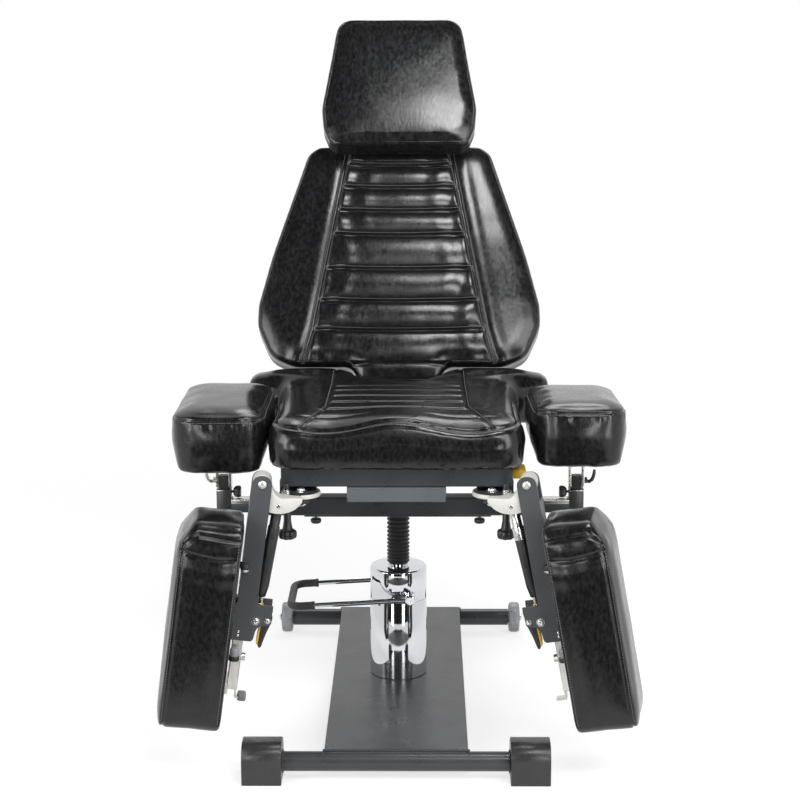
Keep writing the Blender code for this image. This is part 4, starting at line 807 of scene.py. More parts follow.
core_line = barrel + lower + [(-0.0475, -0.0545), (-0.0475, -0.0305), (0.0095, -0.0305), (0.0135, -0.0180),
                              (0.0158, -0.008)]
for side, sign in SIDES:
    face = -sign

    def on_bracket(u, w, e, side=side, face=face):
        return swing_frame[side] @ Vector((LEG_REACH + u, face * e, w))

    cheeks = [cut_plate(cheek_line, LEG_IN - CHEEK_OUT, LEG_IN - CHEEK_IN, on_bracket, 0.0009),
              cut_plate(cheek_line, LEG_IN + CHEEK_IN, LEG_IN + CHEEK_OUT, on_bracket, 0.0009),
              cut_plate(core_line, LEG_IN - 0.0126, LEG_IN + 0.0126, on_bracket, 0)]
    disc = turned([(0, DISC_TOP - 0.008), (0.0345, DISC_TOP - 0.008), (0.036, DISC_TOP - 0.0068),
                   (0.036, DISC_TOP - 0.0012), (0.0352, DISC_TOP), (0, DISC_TOP)], 96,
                  place=swing_frame[side])
    hand_over("swivel_casting_" + side, joined(*cheeks, disc), bracket_coat, "leg_swing_" + side, "ivory",
              "leg_bracket_" + side)
    polish = turned([(0.0104, DISC_TOP + 0.0001), (0.0338, DISC_TOP + 0.0001), (0.0340, DISC_TOP + 0.0004),
                     (0.0104, DISC_TOP + 0.0004)], 96, place=swing_frame[side])
    hand_over("swivel_disc_face_" + side, polish, chrome, "leg_swing_" + side, "steel")
    pin = swing_frame[side] @ Matrix.Translation((0.0265, face * 0.0075, DISC_TOP))
    collar = turned([(0, 0.0004), (0.0052, 0.0004), (0.0056, 0.001), (0.0056, 0.0048), (0.0050, 0.0055),
                     (0, 0.0055)], 36, place=pin)
    hand_over("index_pin_collar_" + side, collar, zinc, "leg_swing_" + side, "steel")
    cap = turned([(0, 0.0055), (0.0046, 0.0055), (0.0048, 0.0062), (0.0046, 0.0150), (0.0036, 0.0168),
                  (0.0016, 0.0175), (0, 0.0176)], 36, place=pin)
    hand_over("index_pin_cap_" + side, cap, plastic, "leg_swing_" + side, "plastic")
print("two swivel castings placed")

# %% [markdown]
# Bolts carry the leg: a domed hinge bolt through both cheeks, a small screw for the spring, and bolts and
# rivets on the lower bracket. A dome with a sunk recess reads as a real fastener even when it is only a few
# pixels wide, so one helper turns them all.

# %% Hinge bolts and bracket fasteners


def domed_bolt(radius, tall, recess, place, steps=40):
    """A round head standing on z = 0, with a sunk drive in its middle."""
    return turned([(0, tall * 0.35), (recess, tall * 0.35), (recess * 1.05, tall),
                   (radius * 0.72, tall * 0.92), (radius * 0.94, tall * 0.55), (radius, tall * 0.15),
                   (radius, 0), (0, 0)], steps, place=place)


def facing(place, point, toward):
    """A frame at a point of place whose z axis runs along place's +y or -y."""
    return place @ Matrix.Translation(point) @ Matrix.Rotation(-toward * pi / 2, 4, "X")


HINGE_HALF, LEG_WALL = 0.0228, 0.0225
SPRING_BACK, SPRING_DROP = 0.0285, 0.0425
for side, sign in SIDES:
    face = -sign
    shank = [(0, -HINGE_HALF), (0.005, -HINGE_HALF), (0.005, HINGE_HALF), (0, HINGE_HALF)]
    hinge, screws, fasteners = [], [], []
    for toward in (-1, 1):
        at = facing(swing_frame[side], (LEG_REACH, face * LEG_IN + toward * HINGE_HALF, 0), toward)
        hinge.append(domed_bolt(0.0078, 0.0030, 0.0030, at))
    hinge.append(turned(shank, 24, "y", (LEG_REACH, face * LEG_IN, 0), swing_frame[side]))
    hand_over("leg_hinge_bolt_head_" + side, joined(*hinge), matt_zinc, "leg_swing_" + side, "steel",
              "leg_hinge_bolt_" + side)
    for toward in (-1, 1):
        spot = (LEG_REACH - SPRING_BACK, face * LEG_IN + toward * CHEEK_OUT, -SPRING_DROP)
        screws.append(domed_bolt(0.0042, 0.0010, 0.0022, facing(swing_frame[side], spot, toward)))
    hand_over("spring_screw_" + side, joined(*screws), nickel, "leg_swing_" + side, "steel")
    for toward in (-1, 1):
        for q, l, radius in ((-0.0186, 0.257, 0.0072), (-0.0404, 0.2545, 0.0052)):
            at = facing(leg_frame[side], (q, toward * LEG_WALL, -l), toward)
            fasteners.append(turned([(0, 0.0008), (radius * 1.12, 0.0008), (radius * 1.15, 0), (0, 0)], 36,
                                    place=at))
            fasteners.append(domed_bolt(radius * 0.85, 0.0034, radius * 0.38, at,
                                        36 if radius > 0.006 else 6))
        for l in (0.2805, 0.2875):
            at = facing(leg_frame[side], (0.0105, toward * LEG_WALL, -l), toward)
            fasteners.append(domed_bolt(0.0025, 0.0006, 0.0006, at, 20))
    hand_over("leg_bracket_bolts_" + side, joined(*fasteners), zinc, "leg_" + side, "steel")
print("leg fasteners placed")

# %% [markdown]
# A gas spring holds each leg at its angle. The tube is black with a slimmer end fitting at the top; one of
# the two wears a bare metal sleeve. The bright rod ends in a yellow plated lock nut. Tube and rod ride on
# different bodies, because the rod slides in the tube when the leg is raised.

# %% Gas springs
ROD_END, ROD_BACK = 0.233, 0.023
spring_frame = {}
for side, sign in SIDES:
    face = -sign
    end_u = ROD_END * sin(HANG[side]) - ROD_BACK * cos(HANG[side])
    end_w = -ROD_END * cos(HANG[side]) - ROD_BACK * sin(HANG[side])
    run_u, run_w = end_u + SPRING_BACK, end_w + SPRING_DROP
    length = hypot(run_u, run_w)
    spring_frame[side] = (swing_frame[side] @ Matrix.Translation((LEG_REACH - SPRING_BACK, face * LEG_IN,
                                                                  -SPRING_DROP))
                          @ Matrix.Rotation(-atan2(run_u, -run_w), 4, "Y"))
    at = spring_frame[side]
    seam = -0.066
    neck = [(0, -0.0146), (0.0086, -0.0146), (0.0095, -0.0156), (0.0095, -0.0415), (0.0108, -0.0432),
            (0.0110, -0.0440)]
    tube = [(0.0108, seam - 0.0002), (0.0110, seam - 0.0010), (0.0110, -0.1575), (0.0104, -0.1605),
            (0.0082, -0.1760), (0.0075, -0.1770), (0.0054, -0.1770)]
    eye = turned([(0.0047, -0.0095), (0.0088, -0.0095), (0.0095, -0.0088), (0.0095, 0.0088), (0.0088, 0.0095),
                  (0.0047, 0.0095), (0.0047, -0.0095)], 36, "y", (0, 0, 0), at)
    top = turned(neck + [(0.0110, seam), (0.0096, seam - 0.0002)], 56, place=at)
    sleeve_finish, sleeve_slot = (zinc, "steel") if side == "right" else (plastic, "plastic")
    hand_over("gas_spring_sleeve_" + side, joined(top, eye), sleeve_finish, "gas_tube_" + side, sleeve_slot)
    hand_over("gas_spring_tube_" + side, turned(tube, 56, place=at), plastic, "gas_tube_" + side, "plastic",
              "gas_cylinder_" + side)
    rod = turned([(0, -0.060), (0.005, -0.060), (0.005, -0.0032 - length), (0.0042, -0.004 - length),
                  (0, -0.004 - length)], 40, place=at)
    hand_over("gas_spring_rod_" + side, rod, zinc, "gas_piston_" + side, "steel", "gas_rod_" + side)
    nut = turned([(0.0050, -0.0022 - length), (0.0070, -0.0022 - length), (0.0078, -0.0014 - length),
                  (0.0078, 0.0040 - length), (0.0070, 0.0048 - length), (0.0050, 0.0048 - length)], 6,
                 place=at)
    hand_over("gas_spring_lock_nut_" + side, nut, gold_zinc, "gas_piston_" + side, "steel")
print("gas springs placed")

# %% [markdown]
# A black lever with a yellow grip frees each gas spring, a plunger knob sets how far the pad is drawn out,
# and small rubber bumpers and end caps keep metal off metal. They are little, but the eye finds them at
# once in the photograph.

# %% Release levers, plunger knobs, bumpers and rail ends
handle = [(0.0095 * cos(pi * n / 16), 0.0095 * sin(pi * n / 16)) for n in range(17)]
handle += [(-0.0082, -0.010), (-0.0046, -0.020), (-0.0014, -0.030), (0.0012, -0.040), (0.0030, -0.048),
           (0.0042, -0.054), (0.0054, -0.0575), (0.0070, -0.0590), (0.0092, -0.0588), (0.0110, -0.0565),
           (0.0120, -0.052), (0.0117, -0.044), (0.0110, -0.036), (0.0100, -0.018)]
strip = [(0.0095, -0.014), (0.0112, -0.036), (0.0120, -0.050), (0.0112, -0.0545), (0.0150, -0.0520),
         (0.0156, -0.044), (0.0146, -0.030), (0.0128, -0.016)]
for side, sign in SIDES:
    face = -sign
    at = leg_frame[side] @ Matrix.Translation((-0.0404, 0, -0.2545))
    shape = cut_plate(handle, -0.006, 0.006, lambda a, b, h: at @ Vector((a, h, b)), 0.0012)
    hand_over("leg_release_lever_" + side, shape, plastic, "leg_release_" + side, "plastic",
              "release_lever_" + side)
    shape = cut_plate(strip, -0.0065, 0.0065, lambda a, b, h: at @ Vector((a, h, b)), 0.0010)
    hand_over("leg_release_grip_" + side, shape, lever_coat, "leg_release_" + side, "yellow")
    at = leg_frame[side]
    knob = at @ Matrix.Translation((0.0122, face * 0.0165, -0.3380))
    ring = lobed([(0, 0), (0.0094, 0), (0.0103, 0.0008), (0.0103, 0.0080), (0.0094, 0.009), (0, 0.009)], 14,
                 0.07, (2, 3), place=knob)
    hand_over("plunger_ring_" + side, ring, plastic, "legrest_" + side, "plastic")
    dome = turned([(0, 0.009), (0.0084, 0.009), (0.0087, 0.0100), (0.0085, 0.0205), (0.0070, 0.0245),
                   (0.0038, 0.0262), (0, 0.0266)], 40, place=knob)
    hand_over("plunger_dome_" + side, dome, milky, "legrest_" + side, "steel")
    bump = at @ Matrix.Translation((0.0128, face * 0.0262, -0.1640))
    body = turned([(0, 0.0048), (0.0080, 0.0048), (0.0085, 0.0056), (0.0085, 0.0112), (0.0074, 0.0140),
                   (0.0042, 0.0158), (0, 0.0162)], 40, place=bump)
    hand_over("bumper_body_" + side, body, rubber, "leg_" + side, "rubber")
    cap = turned([(0, -0.0020), (0.0040, -0.0016), (0.0068, 0.0004), (0.0080, 0.0030), (0.0080, 0.0048),
                  (0, 0.0048)], 40, place=bump)
    hand_over("bumper_cap_" + side, cap, matt_zinc, "leg_" + side, "steel")
    if side == "left":
        shape = block((-0.0195, -0.0100, -0.4195), (-0.0035, 0.0100, -0.4035), 0.0035, at)
        hand_over("rail_end_cap_left", shape, grey_rubber, "legrest_left", "rubber")
print("levers, knobs and bumpers placed")

# %% [markdown]
# The seven cushions are foam blocks in sewn covers. Each starts from the line round it, seen from above.
# These helpers refine such a line, move it inward and mirror it. A smooth step fades one shape or seam into
# the next.

# %% Helpers that draw a cushion's outline


def fine(line, step=0.012):
    """The same closed line with no span longer than step."""
    out = []
    for here, after in zip(line, line[1:] + line[:1]):
        count = max(1, int(hypot(after[0] - here[0], after[1] - here[1]) / step))
        out += [(here[0] + (after[0] - here[0]) * n / count, here[1] + (after[1] - here[1]) * n / count)
                for n in range(count)]
    return out


def drawn_in(line, distance):
    """The line moved inward."""
    area = sum(a[0] * b[1] - b[0] * a[1] for a, b in zip(line, line[1:] + line[:1]))
    out = []
    for k, here in enumerate(line):
        last, after = line[k - 1], line[(k + 1) % len(line)]
        along = Vector((after[0] - last[0], after[1] - last[1])).normalized()
        away = Vector((-along.y, along.x)) * (distance if area > 0 else -distance)
        out.append((here[0] + away.x, here[1] + away.y))
    return out


def both_halves(half):
    """A closed line from its right half, mirrored."""
    return half + [(-a, b, r) for a, b, r in reversed(half)]


def smooth_step(value, low, high):
    t = np.clip((value - low) / (high - low), 0, 1)
    return t * t * (3 - 2 * t)


print("outline helpers ready")

# %% [markdown]
# The blank is the foam before it is covered, in its own flat space (across, along, height). Rings of the
# outline are stacked from the base to the crown: drawn in a little at the foot, full at the side, rounded
# at the upper edge.

# %% Helper that cuts the foam blank


def pad_blank(line, thick, crown, lift, edge_round, foot):
    """The unsewn pad in its own space. edge_round rounds its upper edge, foot draws in its bottom."""
    shape = bmesh.new()
    middle = [sum(p[n] for p in line) / len(line) for n in (0, 1)]
    edge = drawn_in(line, edge_round)
    rows = [(drawn_in(line, foot + 0.004), 0.0006, 0), (drawn_in(line, foot - 0.0005), 0.006, 0),
            (drawn_in(line, 0.001), thick * 0.5, 0.4), (drawn_in(line, -0.0005), thick - 2 * edge_round, 1),
            (drawn_in(line, 0.3 * edge_round), thick - 0.6 * edge_round, 1), (edge, thick - 0.0005, 1)]
    for scale, rise in ((0.88, 0.45), (0.70, 0.75), (0.45, 0.95), (0.18, 1.0)):
        rows.append(([tuple(c + (p - c) * scale for p, c in zip(point, middle)) for point in edge],
                     thick - 0.001 + crown * rise, 1))
    made = []
    for points, height, share in rows:
        made.append([shape.verts.new((a, b, height + (lift(a, b) * share if lift else 0)))
                     for a, b in points])
    for low, high in zip(made, made[1:]):
        for k in range(len(line)):
            m = (k + 1) % len(line)
            shape.faces.new((low[k], low[m], high[m], high[k]))
    shape.faces.new(made[0])
    shape.faces.new(made[-1])
    bmesh.ops.recalc_face_normals(shape, faces=shape.faces[:])
    return shape


print("foam helper ready")

# %% [markdown]
# A cloth simulation with air pressure inside swells the cover the way foam fills it. How far a point may
# move is capped, so the pad keeps its size, and the swelling is evened out over neighbours, as a tight
# cover would do.

# %% Helpers that swell a cover


def settled(piece):
    """The piece's mesh with its modifiers applied."""
    view = bpy.context.evaluated_depsgraph_get()
    mesh = bpy.data.meshes.new_from_object(piece.evaluated_get(view))
    piece.modifiers.clear()
    old = piece.data
    piece.data = mesh
    bpy.data.meshes.remove(old)


def points_of(mesh, kind="vertices", what="co"):
    data = np.zeros(len(getattr(mesh, kind)) * 3, np.float32)
    getattr(mesh, kind).foreach_get(what, data)
    return data.reshape(-1, 3)


def swell(piece, cap, pressure=4.0, frames=16, evenings=14):
    """Blows the cover up with cloth simulation; a tight cover takes the swelling evenly and only outward."""
    before = points_of(piece.data)
    out = points_of(piece.data, "vertex_normals", "vector")
    air = piece.modifiers.new("air", "CLOTH")
    air.settings.use_pressure = True
    air.settings.uniform_pressure_force = pressure
    air.settings.effector_weights.gravity = 0
    air.point_cache.frame_start, air.point_cache.frame_end = 1, frames
    for n in range(1, frames + 1):
        bpy.context.scene.frame_set(n)
    view = bpy.context.evaluated_depsgraph_get()
    after = points_of(piece.evaluated_get(view).data)
    piece.modifiers.clear()
    bpy.context.scene.frame_set(1)
    puff = np.clip(((after - before) * out).sum(1), -0.0005, cap)
    ends = np.zeros(len(piece.data.edges) * 2, np.int32)
    piece.data.edges.foreach_get("vertices", ends)
    one, two = ends[0::2], ends[1::2]
    touching = np.bincount(ends, minlength=len(puff))
    for n in range(evenings):
        near = np.bincount(one, puff[two], len(puff)) + np.bincount(two, puff[one], len(puff))
        puff = 0.5 * puff + 0.5 * near / np.maximum(touching, 1)
    after = before + out * puff[:, None].astype(np.float32)
    after[:, 2] = np.maximum(after[:, 2], 0.0004)
    piece.data.vertices.foreach_set("co", after.ravel())
    piece.data.update()
    return float(puff.max())


print("swelling helpers ready")

# %% [markdown]
# One helper takes a cushion through all the steps. Remeshing gives the blank an even skin of small faces,
# the skin is swelled and relaxed, and then each point is pulled in or puffed out along its normal, which is
# how seams, channels and folds are sewn. The finished cover is kept for the stitches to be laid on.

# %% Helper that makes a finished cushion


def stuffed(name, line, thick, crown, place, body, node, lift=None, cap=0.006, voxel=0.005,
            sew=None, edge_round=0.006, foot=0.0):
    """Makes a cushion and gives back its cover. sew(points, normals) says how far each point is moved."""
    mesh = bpy.data.meshes.new(name)
    shape = pad_blank(fine(line), thick, crown, lift, edge_round, foot)
    shape.to_mesh(mesh)
    shape.free()
    piece = bpy.data.objects.new(name, mesh)
    bpy.context.collection.objects.link(piece)
    remesh = piece.modifiers.new("even_skin", "REMESH")
    remesh.mode = "VOXEL"
    remesh.voxel_size = voxel
    settled(piece)
    moved = swell(piece, cap)
    relax = piece.modifiers.new("relax", "SMOOTH")
    relax.factor, relax.iterations = 0.5, 2
    piece.modifiers.new("smooth_skin", "SUBSURF").levels = 1
    settled(piece)
    here = points_of(piece.data)
    out = points_of(piece.data, "vertex_normals", "vector")
    if sew:
        here = here + out * sew(here, out)[:, None].astype(np.float32)
        here[:, 2] = np.maximum(here[:, 2], 0.0003)
    piece.data.vertices.foreach_set("co", here.ravel())
    for face in piece.data.polygons:
        face.use_smooth = True
    piece.data.update()
    cover = BVHTree.FromPolygons([tuple(p) for p in here], [tuple(f.vertices) for f in piece.data.polygons])
    piece.data.transform(place)
    if place.determinant() < 0:
        piece.data.flip_normals()
    piece.data.materials.clear()
    piece.data.materials.append(leather)
    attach(piece, body)
    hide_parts(node)
    print(name, len(piece.data.polygons), "faces, swelled by up to", round(moved * 1000, 1), "mm")
    return cover


def groove(distance, width):
    """1 on a line, falling to nothing beside it."""
    return np.exp(-(distance / width) ** 2)


print("stuffing helpers ready")

# %% [markdown]
# Seams show as a line of thread or as a thin welt. Both are laid on the finished cover: each point of a
# seam's line is dropped on to the cushion along one direction, so it follows every puff and dip. Stitches
# are short spindles, slightly sunk, all of one row in one mesh.

# %% Helpers that sew


CAST_FROM = 0.2                       # how far off the cover a point starts its drop


def dropped(cover, points, look, lift=0.0):
    """The points moved along look until they meet the cover, and lifted off it a little."""
    look = Vector(look).normalized()
    out = []
    for point in points:
        hit = cover.ray_cast(Vector(point) - look * CAST_FROM, look)
        if hit[0] is not None:
            out.append((hit[0] + hit[1] * lift, hit[1]))
    return out


def even(points, step):
    """Points every step along a line."""
    line = [Vector(p) for p in points]
    out, carry = [line[0]], 0.0
    for here, after in zip(line, line[1:]):
        span = (after - here).length
        along = step - carry
        while along <= span:
            out.append(here.lerp(after, along / span))
            along += step
        carry = (carry + span) % step
    return out


def stitched(name, rows, place, body, pitch=0.0052, length=0.0034, radius=0.0007):
    """rows holds (cover, points, look). Every row becomes short threads in one mesh."""
    verts, faces = [], []
    for cover, points, look in rows:
        laid = dropped(cover, even(points, pitch), look, 0.0002)
        for k, (here, up) in enumerate(laid):
            other = laid[k + 1][0] if k + 1 < len(laid) else here * 2 - laid[k - 1][0]
            run = (other - here)
            if not 0.2 * pitch < run.length < 3 * pitch:
                continue
            run.normalize()
            side = run.cross(up).normalized()
            start = len(verts)
            for share, size in ((-0.5, 0.35), (-0.25, 1.0), (0.25, 1.0), (0.5, 0.35)):
                for n in range(6):
                    turn = 2 * pi * n / 6
                    verts.append(here + run * (share * length) + (side * cos(turn) + up * sin(turn))
                                 * (radius * size))
            for ring in range(3):
                for n in range(6):
                    a, b = start + ring * 6 + n, start + ring * 6 + (n + 1) % 6
                    faces.append((a, b, b + 6, a + 6))
            faces += [tuple(range(start + 5, start - 1, -1)), tuple(range(start + 18, start + 24))]
    mesh = bpy.data.meshes.new(name)
    mesh.from_pydata([place @ v for v in verts], [], faces)
    for face in mesh.polygons:
        face.use_smooth = True
    mesh.materials.append(thread)
    piece = bpy.data.objects.new(name, mesh)
    bpy.context.collection.objects.link(piece)
    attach(piece, body)


WELT_STEP = 0.004


def welted(name, cover, points, look, place, body, radius=0.0014, sunk=0.4):
    """A thin piped edge laid on the cover along a line."""
    laid = [p for p, _ in dropped(cover, even(points, WELT_STEP), look, radius * (1 - 2 * sunk))]
    shape = bent_rod(laid, radius, 8, place)
    hand_over(name, shape, leather, body, "upholstery", crease=radians(80))


print("sewing helpers ready")

# %% [markdown]
# The seat is a thick pad with wings at the back that follow the armrests and a notch for the backrest. Its
# front edge rises in the middle and dips under each thigh, and a stitched seam follows that wave. A centre
# panel is sewn with six cross channels, the front one shallow. The waves are in the blank, the seams are
# pressed in after the swelling.

# %% Seat cushion
SEAT_Z, SEAT_THICK = 0.5423, 0.080
SEAT_PLACE = HOME @ Matrix.Translation((0, 0, SEAT_Z))
seat_line = rounded_outline(both_halves([
    (0.239, -0.281, 0.060), (0.2375, 0.086, 0.024), (0.307, 0.124, 0.024), (0.307, 0.174, 0.020),
    (0.272, 0.200, 0.024), (0.112, 0.200, 0.016), (0.101, 0.140, 0.016)]))


def seat_wave(x, y):
    front = 1 - smooth_step(y, -0.265, -0.125)
    hollow = smooth_step(y, 0.060, 0.100) * (1 - smooth_step(abs(x), 0.072, 0.099))
    thigh = front * (0.003 + 0.0095 * np.cos(2 * pi * x / 0.27))
    thigh = thigh - 0.005 * smooth_step(abs(x), 0.17, 0.24) * (1 - smooth_step(y, 0.0, 0.1))
    return thigh + 0.014 * smooth_step(y, 0.03, 0.15) - 0.022 * hollow


CORNER_X, CORNER_Y, CORNER_R = 0.179, -0.221, 0.060      # the middle of each front corner's arc
FRONT_SEAM = 0.016                                       # the front seam's distance from the edge
seat_channels = (-0.215, -0.168, -0.118, -0.068, -0.018, 0.022)


def from_edge(x, y):
    """How far a point lies inside the seat's front edge and sides."""
    over_x, over_y = np.maximum(np.abs(x) - CORNER_X, 0), np.maximum(CORNER_Y - y, 0)
    return CORNER_R - np.hypot(over_x, over_y)


def front_seam(inset):
    """A line over the seat that keeps this distance from its front edge and sides."""
    reach = CORNER_R - inset
    half = [(CORNER_X + reach * sin(t), CORNER_Y - reach * cos(t)) for t in np.linspace(0, pi / 2, 9)]
    half.append((CORNER_X + reach, -0.02))
    return [(-x, y, 0.2) for x, y in reversed(half)] + [(x, y, 0.2) for x, y in half]


def seat_panel(y):
    """Half width of the sewn centre panel."""
    return np.interp(y, (-0.275, -0.268, -0.150, 0.200), (0.180, 0.175, 0.130, 0.125))


def sew_seat(p, n):
    x, y, h = p[:, 0], p[:, 1], p[:, 2]
    top = smooth_step(n[:, 2], 0.45, 0.8)
    inside = smooth_step(seat_panel(y) - np.abs(x), 0.0, 0.010)
    out = -0.0036 * top * groove(np.abs(x) - seat_panel(y), 0.0032) * (y > -0.262)
    for line in seat_channels:
        depth = 0.0030 if line > seat_channels[0] else 0.0012
        out += -depth * top * inside * groove(y - line, 0.0038)
        out += 0.0008 * top * inside * groove(y - line - 0.016, 0.010)
        trail = smooth_step(np.abs(x) - seat_panel(y), 0.045, 0.0) * (1 - inside)
        out += -0.0012 * top * trail * groove(y - line - 0.004 * np.sin(60 * x), 0.0035)
    seam = groove(from_edge(x, y) - FRONT_SEAM, 0.0030) * (1 - smooth_step(y, -0.06, 0.0))
    out += -0.0032 * seam * (h > 0.045)
    boxing = smooth_step(-n[:, 1], 0.4, 0.8)
    out += 0.0055 * boxing * np.sin(pi * np.clip(h / SEAT_THICK, 0, 1))
    pucker = np.array([noise.noise(Vector((a * 70, b * 70, 0.5))) for a, b in zip(x, y)])
    out += 0.0022 * pucker * groove(h - 0.004, 0.006) * (1 - top)
    out += 0.0006 * np.array([noise.noise(Vector((a * 22, b * 22, c * 22))) for a, b, c in p])
    return out


seat_cover = stuffed("seat_pad", seat_line, SEAT_THICK, 0.012, SEAT_PLACE, "seat", "seat_cushion", seat_wave,
                     0.006, 0.006, sew_seat, 0.018, 0.004)
rows = [(seat_cover, front_seam(FRONT_SEAM - 0.0045), (0, 0, -1))]
for sign in (-1, 1):
    side_line = [(sign * (float(seat_panel(y)) + 0.0045), y, 0.2) for y in np.linspace(-0.262, 0.13, 40)]
    rows.append((seat_cover, side_line, (0, 0, -1)))
stitched("seat_stitches", rows, SEAT_PLACE, "seat")

# %% [markdown]
# The backrest widens from shoulder to hip. Its middle panel is sewn into horizontal channels with plain
# bolsters at both sides, and a short tongue reaches down into the seat's notch. It leans back by thirty
# degrees, so it is stuffed lying flat in its own space and tilted into place at the end.

# %% Backrest cushion
lean = radians(30)
BACK_Y, BACK_Z = 0.160, 0.660         # the foot of the backrest's face
CHANNEL_SAG = 0.003                   # how far the channels hang down in the middle


def reclined(out):
    """The frame of the backrest's face, moved out from it."""
    return HOME @ Matrix(((1, 0, 0, 0), (0, sin(lean), -cos(lean), BACK_Y - cos(lean) * out),
                          (0, cos(lean), sin(lean), BACK_Z + sin(lean) * out), (0, 0, 0, 1)))


BACK_PLACE = reclined(-0.070)
back_line = rounded_outline(both_halves([(0.170, 0.485, 0.020), (0.1935, 0.468, 0.028),
                                         (0.2650, 0.235, 1.0), (0.2905, 0.128, 0.090),
                                         (0.2915, 0.082, 0.060), (0.262, 0.014, 0.050),
                                         (0.215, -0.006, 0.060), (0.098, -0.006, 0.020),
                                         (0.0785, -0.045, 0.012)]))
back_channels = (0.0696, 0.133, 0.2035, 0.279, 0.333, 0.386, 0.438)


def back_panel(s):
    return np.interp(s, (-0.01, 0.005, 0.068, 0.4585, 0.5), (0.198, 0.194, 0.177, 0.110, 0.103))


def sew_back(p, n):
    x, s, h = p[:, 0], p[:, 1], p[:, 2]
    top = smooth_step(n[:, 2], 0.45, 0.8)
    half = back_panel(s)
    inside = smooth_step(half - np.abs(x), 0.0, 0.012)
    out = -0.0050 * top * groove(np.abs(x) - half, 0.0040) * (s > -0.002)
    out += 0.0026 * top * groove(np.abs(x) - half - 0.020, 0.014)
    edges = (-0.006,) + back_channels + (0.485,)
    for low, high in zip(edges, edges[1:]):
        share = np.clip((s - low) / (high - low), 0, 1)
        out += 0.0052 * top * inside * (1 - (2 * share - 0.86) ** 2) * ((s > low) & (s <= high))
    for line in back_channels:
        sag = line - CHANNEL_SAG * (1 - (x / half) ** 2)
        out += -0.0062 * top * inside * groove(s - sag + 0.001, 0.0036)
    ripple = np.sin(x * 95 + 1.4 * np.sin(s * 23)) * smooth_step(half - np.abs(x), 0.09, 0.01)
    out += 0.0017 * top * inside * ripple
    out += -0.0034 * top * groove(s + 0.004, 0.0032) * (np.abs(x) < 0.097)
    drift = np.array([noise.noise(Vector((a * 16, b * 16, 3.1))) for a, b in zip(x, s)])
    out += 0.0008 * drift * top
    return out


back_cover = stuffed("backrest_pad", back_line, 0.062, 0.008, BACK_PLACE, "backrest", "back_cushion", None,
                     0.006, 0.006, sew_back)
rows = []
for line in back_channels:
    half = float(back_panel(line)) - 0.004
    xs = np.linspace(-half, half, 50)
    sagging = [(x, line - CHANNEL_SAG * (1 - (x / half) ** 2) + 0.0042, 0.3) for x in xs]
    rows.append((back_cover, sagging, (0, 0, -1)))
for sign in (-1, 1):
    for away in (-0.0048, 0.0048):
        rows.append((back_cover, [(sign * (float(back_panel(s)) + away), s, 0.3)
                                  for s in np.linspace(0.004, 0.462, 70)], (0, 0, -1)))
stitched("backrest_stitches", rows, BACK_PLACE, "backrest")
edge_line = drawn_in(fine(back_line), 0.0075)
welted("backrest_welt", back_cover, [(a, b, 0.3) for a, b in edge_line + edge_line[:1]], (0, 0, -1),
       BACK_PLACE, "backrest")

# %% [markdown]
# The headrest is a plain plump pad with a piped seam round its face and two seams on its boxing. Its only
# decoration is the shine, so it is sewn least.

# %% Headrest cushion
HEAD_PLACE = reclined(0.0108)
head_line = rounded_outline(both_halves([(0.129, 0.7445, 0.034), (0.162, 0.536, 0.070), (0.158, 0.491, 0.060),
                                         (0.141, 0.451, 0.028)]))


def sew_head(p, n):
    side = 1 - smooth_step(np.abs(n[:, 2]), 0.45, 0.75)
    out = -0.0024 * side * (groove(p[:, 2] - 0.018, 0.0026) + groove(p[:, 2] - 0.034, 0.0026))
    drift = np.array([noise.noise(Vector((a * 15, b * 15, 7.7))) for a, b in zip(p[:, 0], p[:, 1])])
    return out + 0.0006 * drift


head_cover = stuffed("headrest_pad", head_line, 0.0562, 0.006, HEAD_PLACE, "headrest", "headrest_cushion",
                     None, 0.006, 0.0045, sew_head, 0.004)
edge_line = drawn_in(fine(head_line), 0.0065)
welted("headrest_welt", head_cover, [(a, b, 0.3) for a, b in edge_line + edge_line[:1]], (0, 0, -1),
       HEAD_PLACE, "headrest")

# %% [markdown]
# Each armrest is a box cushion: a top panel sewn to sides that draw in towards the bottom. The side panel
# is gathered into the stitched seam along the top edge, so small pleats hang below it. Both pads share one
# blank, and the right one sits slightly tipped on its yoke.

# %% Armrest cushions
ARM_SEAM, ARM_STITCH, ARM_PLEAT = 0.1020, 0.0985, 0.0930      # heights above the pad's bottom
arm_line = rounded_outline([(-0.0855, -0.262, 0.048), (0.0855, -0.262, 0.048), (0.0855, 0.038, 0.034),
                            (-0.0855, 0.038, 0.034)])


def sew_arm(p, n):
    x, y, h = p[:, 0], p[:, 1], p[:, 2]
    side = 1 - smooth_step(np.abs(n[:, 2]), 0.55, 0.85)
    out = -0.0026 * side * groove(h - ARM_SEAM, 0.0026)
    pleat = np.array([noise.noise(Vector(((a + b) * 85, c * 12, 4.0))) for a, b, c in p])
    out += 0.0012 * side * pleat * groove(h - ARM_PLEAT, 0.0075)
    drift = np.array([noise.noise(Vector((a * 20, b * 20, c * 20))) for a, b, c in p])
    pucker = np.array([noise.noise(Vector((a * 80, b * 80, 1.5))) for a, b in zip(x, y)])
    return out + 0.0007 * drift + 0.0012 * pucker * groove(h - 0.004, 0.006)


